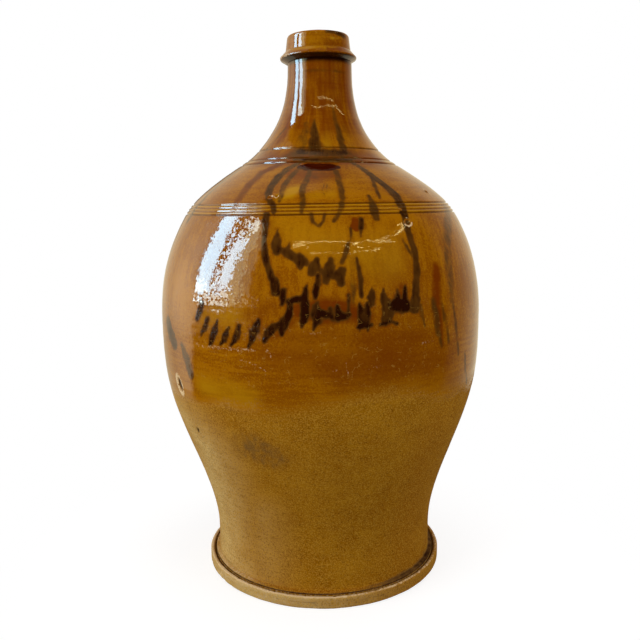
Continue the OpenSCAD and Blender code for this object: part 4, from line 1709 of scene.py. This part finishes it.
@dataclass
class Body:
    """Thrown walls of the body: lower wall, upper wall and shoulder. Steps are in metres."""

    shop: Workshop
    column_count: int = 640
    lower_step: float = 0.00150
    upper_step: float = 0.00104
    shoulder_step: float = 0.00070
    inner_step: float = 0.0095

    def build(self) -> tuple[bpy.types.Object, ...]:
        """Build and dress the three walls.

        Returns:
            The dressed pieces, from the floor up.
        """
        form = self.shop.form
        return (
            self.wall("lower_wall", form.floor_z, form.hip_z, self.lower_step, Slot.BARE_CLAY),
            self.wall("upper_wall", form.hip_z, form.shoulder_z, self.upper_step, Slot.AMBER_GLAZE),
            self.wall("shoulder", form.shoulder_z, form.root_z, self.shoulder_step, Slot.AMBER_GLAZE),
        )

    def wall(self, name: str, low: float, high: float, step: float, slot: Slot) -> bpy.types.Object:
        """Thrown section between two seams, turned with the skin's relief.

        Args:
            name: Name of the node.
            low: Height of the seam below.
            high: Height of the seam above.
            step: Distance along the wall between two outer rows.
            slot: Material slot of the record.
        Returns:
            The dressed piece.
        """
        profile = self.shop.thrown_profile(low, high, step, self.inner_step)
        points, fields = self.shop.skinned(profile, self.shop.columns(self.column_count))
        return self.shop.piece(name, slot, points, fields)


@dataclass
class Mouth:
    """Neck, collar ring and lip. Sizes are in metres."""

    shop: Workshop
    column_count: int = 480
    neck_step: float = 0.0009
    inner_step: float = 0.004
    collar_reach: float = 0.005
    collar_edge_rise: float = 0.0036
    collar_round: float = 0.0014
    collar_edge_angle: float = 60.0
    collar_seat: float = 0.0008
    collar_row_step: float = 0.0006
    # Share of painted highlight on the collar's left side.
    left_highlight: float = 0.32
    lip_step: float = 0.0004
    lip_taper: float = 0.0012
    lip_round: float = 0.0025
    mouth_round: float = 0.0020
    lip_row_step: float = 0.0007

    @property
    def seat_r(self) -> float:
        """Radius of the seat that the collar is set into."""
        return self.shop.form.neck_r - self.collar_seat

    def build(self) -> tuple[bpy.types.Object, ...]:
        """Build and dress the three pieces."""
        return self.neck(), self.collar_ring(), self.lip()

    def neck(self) -> bpy.types.Object:
        """Flared neck with the collar's seat at its top.

        Returns:
            The dressed piece.
        """
        form = self.shop.form
        seat = ((self.seat_r, form.collar_z), (self.seat_r, form.rim_z))
        profile = self.shop.thrown_profile(form.root_z, form.rim_z, self.neck_step, self.inner_step, seat)
        points, fields = self.shop.skinned(profile, self.shop.columns(self.column_count))
        return self.shop.piece("neck", Slot.BROWN_GLAZE, points, fields)

    def ring(self, name: str, slot: Slot, section: Array, fixed: Array, pale_share: Array, seed: int,
             left_highlight: float = 0.0) -> bpy.types.Object:
        """Turn a small glazed ring whose free faces are softened by uneven glaze.

        Args:
            name: Name of the node.
            slot: Material slot of the record.
            section: Radius and height of the section's points.
            fixed: True at the points that stay on their joint, one column.
            pale_share: How far each point of the section is rubbed pale, from 0 to 1, one column.
            seed: Number that picks the unevenness.
            left_highlight: Share of painted highlight that is added on the left side, laid as wear.
        Returns:
            The dressed piece.
        """
        azimuth = self.shop.columns(self.column_count)
        points = turned_points(azimuth, section[:, :1], section[:, 1:])
        lumps = 0.14 * lattice_noise(points, 11 * MM, seed) + 0.05 * lattice_noise(points, 4 * MM, seed + 1)
        bite = smooth_step(lattice_noise(points, 6 * MM, seed + 2), 0.62, 0.9) * pale_share
        points = dented(section, azimuth, MM * np.where(fixed, 0.0, lumps - 0.5 * bite))
        patches = 0.5 + 0.5 * lattice_noise(points, 9 * MM, seed + 3)
        left = smooth_step(-np.sin(azimuth), 0.45, 0.90)
        fields = self.shop.skin.paint(azimuth[None, :], section[:, 1:])
        # The left side is paled with a painted highlight, laid as wear.
        fields["wear_and_light"] = pale_share * (0.26 * patches + 0.12 * bite + left_highlight * left)
        return self.shop.piece(name, slot, points, fields)

    def collar_ring(self) -> bpy.types.Object:
        """Ring clasped round the neck: straight flanks out to a rounded edge.

        Returns:
            The dressed piece.
        """
        form = self.shop.form
        edge = (form.neck_r + self.collar_reach - self.collar_round, form.collar_z + self.collar_edge_rise)
        corners = np.concatenate((
            ((self.seat_r, form.collar_z), (form.neck_r, form.collar_z)),
            arc(edge, self.collar_round, -self.collar_edge_angle, self.collar_edge_angle, 10),
            ((form.neck_r + self.lip_step, form.rim_z), (self.seat_r, form.rim_z)),
        ))
        section = refined(corners, self.collar_row_step)
        fixed = section[:, :1] < form.neck_r + 0.5 * MM
        pale_share = smooth_step(section[:, :1], edge[0], edge[0] + self.collar_round)
        return self.ring(
            "collar_ring", Slot.BROWN_GLAZE, section, fixed, pale_share, Seed.COLLAR, self.left_highlight
        )

    def lip(self) -> bpy.types.Object:
        """Lip with a rounded outer edge and a rounded mouth.

        Returns:
            The dressed piece.
        """
        form = self.shop.form
        base_r = form.neck_r + self.lip_step
        top_r = base_r - self.lip_taper
        out, mouth = self.lip_round, self.mouth_round
        corners = np.concatenate((
            ((form.bore_r, form.rim_z),),
            form.tongue(form.rim_z),
            ((base_r, form.rim_z),),
            arc((top_r - out, form.top_z - out), out, 0, 90, 12),
            arc((form.bore_r + mouth, form.top_z - mouth), mouth, 90, 180, 8),
        ))
        section = refined(corners, self.lip_row_step)
        fixed = section[:, 1:] < form.rim_z + 0.3 * MM
        pale_share = smooth_step(section[:, 1:], form.top_z - 2.8 * MM, form.top_z - 0.4 * MM)
        return self.ring("lip", Slot.AMBER_GLAZE, section, fixed, pale_share, Seed.LIP)


@dataclass(frozen=True)
class Lamp:
    """Soft rectangular lamp between two ends.

    The ends and the width are in metres and the power is in watts. The lamp faces the aim as squarely as its
    line allows. One for gloss alone shows only in reflections, and the others only light the surface.
    """

    name: str
    start: tuple[float, float, float]
    end: tuple[float, float, float]
    width: float
    power: float
    colour: Colour = WHITE
    gloss_only: bool = False
    aim: tuple[float, float, float] = (0.0, 0.0, 0.28)

    def hang(self) -> None:
        """Hang the lamp.

        Its own X axis runs from end to end, its Z axis points from the aim to its middle, less the part of
        that along X, and Y is square to both.
        """
        start, end = Vector(self.start), Vector(self.end)
        middle = (start + end) / 2.0
        along = (end - start).normalized()
        back = middle - Vector(self.aim)
        back = (back - along * back.dot(along)).normalized()
        data = bpy.data.lights.new(self.name, "AREA")
        data.shape = "RECTANGLE"
        data.size = (end - start).length
        data.size_y = self.width
        data.energy = self.power
        data.color = self.colour
        lamp = bpy.data.objects.new(self.name, data)
        turn = Matrix((along, back.cross(along), back)).transposed().to_4x4()
        lamp.matrix_world = Matrix.Translation(middle) @ turn
        lamp.visible_camera = False
        lamp.visible_diffuse = not self.gloss_only
        lamp.visible_glossy = self.gloss_only
        bpy.context.collection.objects.link(lamp)


def soft_boxes() -> tuple[Lamp, ...]:
    """Lamps that light the bottle.

    Returns:
        A key lamp at the left, a fill at the right and a lamp overhead.
    """
    return (
        Lamp("key", (-1.52, -0.78, 0.15), (-1.52, -0.78, 1.35), 1.2, 19.0),
        Lamp("fill", (1.48, -0.80, 0.15), (1.48, -0.80, 1.35), 1.2, 9.4),
        Lamp("top", (-0.2, 0.1, 1.9), (1.0, 0.1, 1.9), 1.2, 7.4),
    )


def reflected_room() -> tuple[Lamp, ...]:
    """What the gloss shows of the room.

    Returns:
        Lamps for a window with two panes, its blind, curtain and sill, and for tubes overhead.
    """
    cool_day: Colour = (0.48, 0.80, 1.0)
    white_day: Colour = (0.60, 0.86, 1.0)
    pale_cloth: Colour = (0.86, 1.0, 0.92)
    warm_cloth: Colour = (0.94, 1.0, 0.62)
    warm_tube: Colour = (1.0, 0.84, 0.34)
    rows = (
        ("left_pane", (-1.5, -0.10, 0.39), (-1.5, 0.085, 2.00), 0.38, 27.5, cool_day),
        ("right_pane", (-1.5, -0.54, 0.50), (-1.5, -0.565, 1.60), 0.30, 14.6, white_day),
        ("blind", (-1.5, -0.59, 1.60), (-1.5, -0.61, 2.05), 0.36, 4.6, pale_cloth),
        ("curtain", (-1.5, -0.86, 0.40), (-1.5, -0.86, 2.05), 0.28, 3.8, warm_cloth),
        ("curtain_edge", (-1.5, -1.13, 0.36), (-1.5, -1.13, 1.95), 0.26, 1.4, warm_cloth),
        ("sill", (-1.5, 0.08, 0.35), (-1.5, -0.66, 0.35), 0.18, 3.4, pale_cloth),
        ("sill_end", (-1.5, -0.66, 0.35), (-1.5, -1.05, 0.35), 0.18, 0.45, warm_cloth),
        ("tube_front", (-0.85, -1.80, 2.0), (1.10, -1.82, 2.0), 0.012, 2.2, warm_tube),
        ("tube_corner", (1.10, -1.78, 2.0), (2.00, -1.12, 2.0), 0.012, 1.0, warm_tube),
        ("tube_side", (2.03, -1.10, 2.0), (2.10, -0.05, 2.0), 0.012, 1.0, warm_tube),
        ("far_tube", (-0.30, -2.42, 2.0), (1.00, -2.38, 2.0), 0.011, 0.7, warm_tube),
        ("far_corner", (1.05, -2.34, 2.0), (2.00, -1.75, 2.0), 0.011, 0.8, warm_tube),
    )
    return tuple(Lamp(*row, gloss_only=True) for row in rows)


@dataclass
class Studio:
    """Plain pale floor, soft lamps, a pale backdrop and the camera. Sizes are in metres."""

    view: PhotoView
    floor_r: float = 0.28
    floor_turns: int = 96
    floor_rings: int = 8
    floor_colour: Colour = (0.36, 0.36, 0.36)
    floor_glow: float = 0.77
    fill: float = 0.42
    gloss_colour: Colour = (1.0, 0.86, 0.60)
    lamps: tuple[Lamp, ...] = field(default_factory=lambda: soft_boxes() + reflected_room())

    def build(self) -> None:
        """Make the floor, the backdrop, the lamps and the camera."""
        self.lay_floor()
        self.set_world()
        for lamp in self.lamps:
            lamp.hang()
        self.view.make_camera()
        bpy.context.scene.view_settings.view_transform = "Standard"

    def lay_floor(self) -> None:
        """Lay a round pale floor under the bottle, as rings of points about its middle."""
        n = self.floor_turns
        radius = np.linspace(0.0, self.floor_r, self.floor_rings + 1)[1:, None]
        rings = turned_points(tau * np.arange(n) / n, radius, np.array(0.0))
        points = np.concatenate((np.zeros((1, 3)), rings.reshape(-1, 3)))
        j = np.arange(n)
        k = (j + 1) % n
        base = 1 + n * np.arange(self.floor_rings - 1)[:, None]
        quads = np.stack((base + j, base + n + j, base + n + k, base + k), axis=-1).reshape(-1, 4)
        fan = np.stack((np.zeros(n, int), 1 + j, 1 + k), axis=-1)
        mesh = bpy.data.meshes.new("studio_floor")
        mesh.from_pydata(points.tolist(), [], quads.tolist() + fan.tolist())
        mesh.materials.append(self.floor_material())
        floor = bpy.data.objects.new("studio_floor", mesh)
        bpy.context.collection.objects.link(floor)

    def floor_material(self) -> bpy.types.Material:
        """Pale floor that reads as the white backdrop to the eye and in reflections, and keeps its shadow.

        Returns:
            The node material: a pale matt that fades out towards the rim, with a glow that only shows.
        """
        made = bpy.data.materials.new("studio_floor")
        sheet = NodeSheet(made)
        seen = sheet.rays("Is Camera Ray", "Is Transmission Ray", "Is Glossy Ray")
        far = sheet.vector("LENGTH", {0: sheet.place()}, "Value")
        rim = sheet.ease(far, 0.45 * self.floor_r, 0.98 * self.floor_r)
        light = seen * sheet.between(rim, self.floor_glow, 1.0)
        pale = sheet.node("ShaderNodeBsdfDiffuse", {"Color": sheet.blend(rim, self.floor_colour, BLACK)})
        glow = sheet.node("ShaderNodeEmission", {"Color": WHITE, "Strength": light})
        shaders = {0: sheet.out(pale, "BSDF"), 1: sheet.out(glow, "Emission")}
        both = sheet.node("ShaderNodeAddShader", shaders)
        sheet.node("ShaderNodeOutputMaterial", {"Surface": sheet.out(both, "Shader")})
        return made

    def set_world(self) -> None:
        """Set the backdrop: white to the eye, warm and pale in the bottle's gloss, dim on its surfaces.

        The pale part of the gloss lies behind the bottle. It fades towards the front, towards the zenith and
        round to the right, brightens next to the window, and dims low down and right behind the outline.
        """
        world = bpy.data.worlds.new("studio")
        bpy.context.scene.world = world
        sheet = NodeSheet(world)
        ease, between = sheet.ease, sheet.between
        sky = sheet.out(sheet.node("ShaderNodeTexCoord", {}), "Generated")
        way = sheet.node("ShaderNodeSeparateXYZ", {0: sky})
        x, y, z = (sheet.out(way, axis) for axis in "XYZ")
        sunk = 0.72 * sheet.math("MINIMUM", z, 0.0)
        near = ease(y + sunk - 0.13 * ease(z, 0.0, 0.12), 0.0, 0.10)
        rim = ease(y, 0.90, 0.975) * ease(z, -0.06, 0.06)
        left = (0.86 + 0.9 * ease(x, -0.72, -0.95)) * between(ease(z, -0.22, -0.07), 0.68, 1.0)
        left = near * (left * (1.0 - 0.8 * rim))
        right = between(ease(y, 0.25, 0.95), 0.14, 0.82) * ease(y, 0.06, 0.30)
        side = between(ease(x, -0.10, 0.15), left, right)
        shown = side * between(ease(z, 0.35, 0.95), 1.0, 0.42)
        gloss = sheet.rays("Is Glossy Ray")
        level = between(gloss, self.fill, shown)
        background = sheet.node("ShaderNodeBackground", {
            "Color": sheet.blend(gloss, WHITE, self.gloss_colour),
            "Strength": between(sheet.rays("Is Camera Ray", "Is Transmission Ray"), level, 1.0),
        })
        sheet.node("ShaderNodeOutputWorld", {"Surface": sheet.out(background, "Background")})


def main() -> None:
    """Build the sub-assemblies in order, report each piece and set the studio."""
    logging.basicConfig(level=logging.INFO, format="%(name)s %(message)s")
    view = PhotoView()
    form = BottleForm()
    finishes = (
        SkinFinish(Slot.AMBER_GLAZE),
        SkinFinish(Slot.BROWN_GLAZE, glaze_rough=0.06),
        SkinFinish(Slot.BARE_CLAY, index=1.28),
        SkinFinish(Slot.WORN_CLAY, index=1.10),
    )
    shop = Workshop(form, Skin(form, view), {finish.slot: finish.material() for finish in finishes})
    for assembly in (Foot(shop), Body(shop), Mouth(shop)):
        for piece in assembly.build():
            mesh = piece.data
            LOG.info("%s: %d faces, finish %s", piece.name, len(mesh.polygons), mesh.materials[0].name)
    Studio(view).build()
    LOG.info("sizes written")


if __name__ == "__main__":
    main()
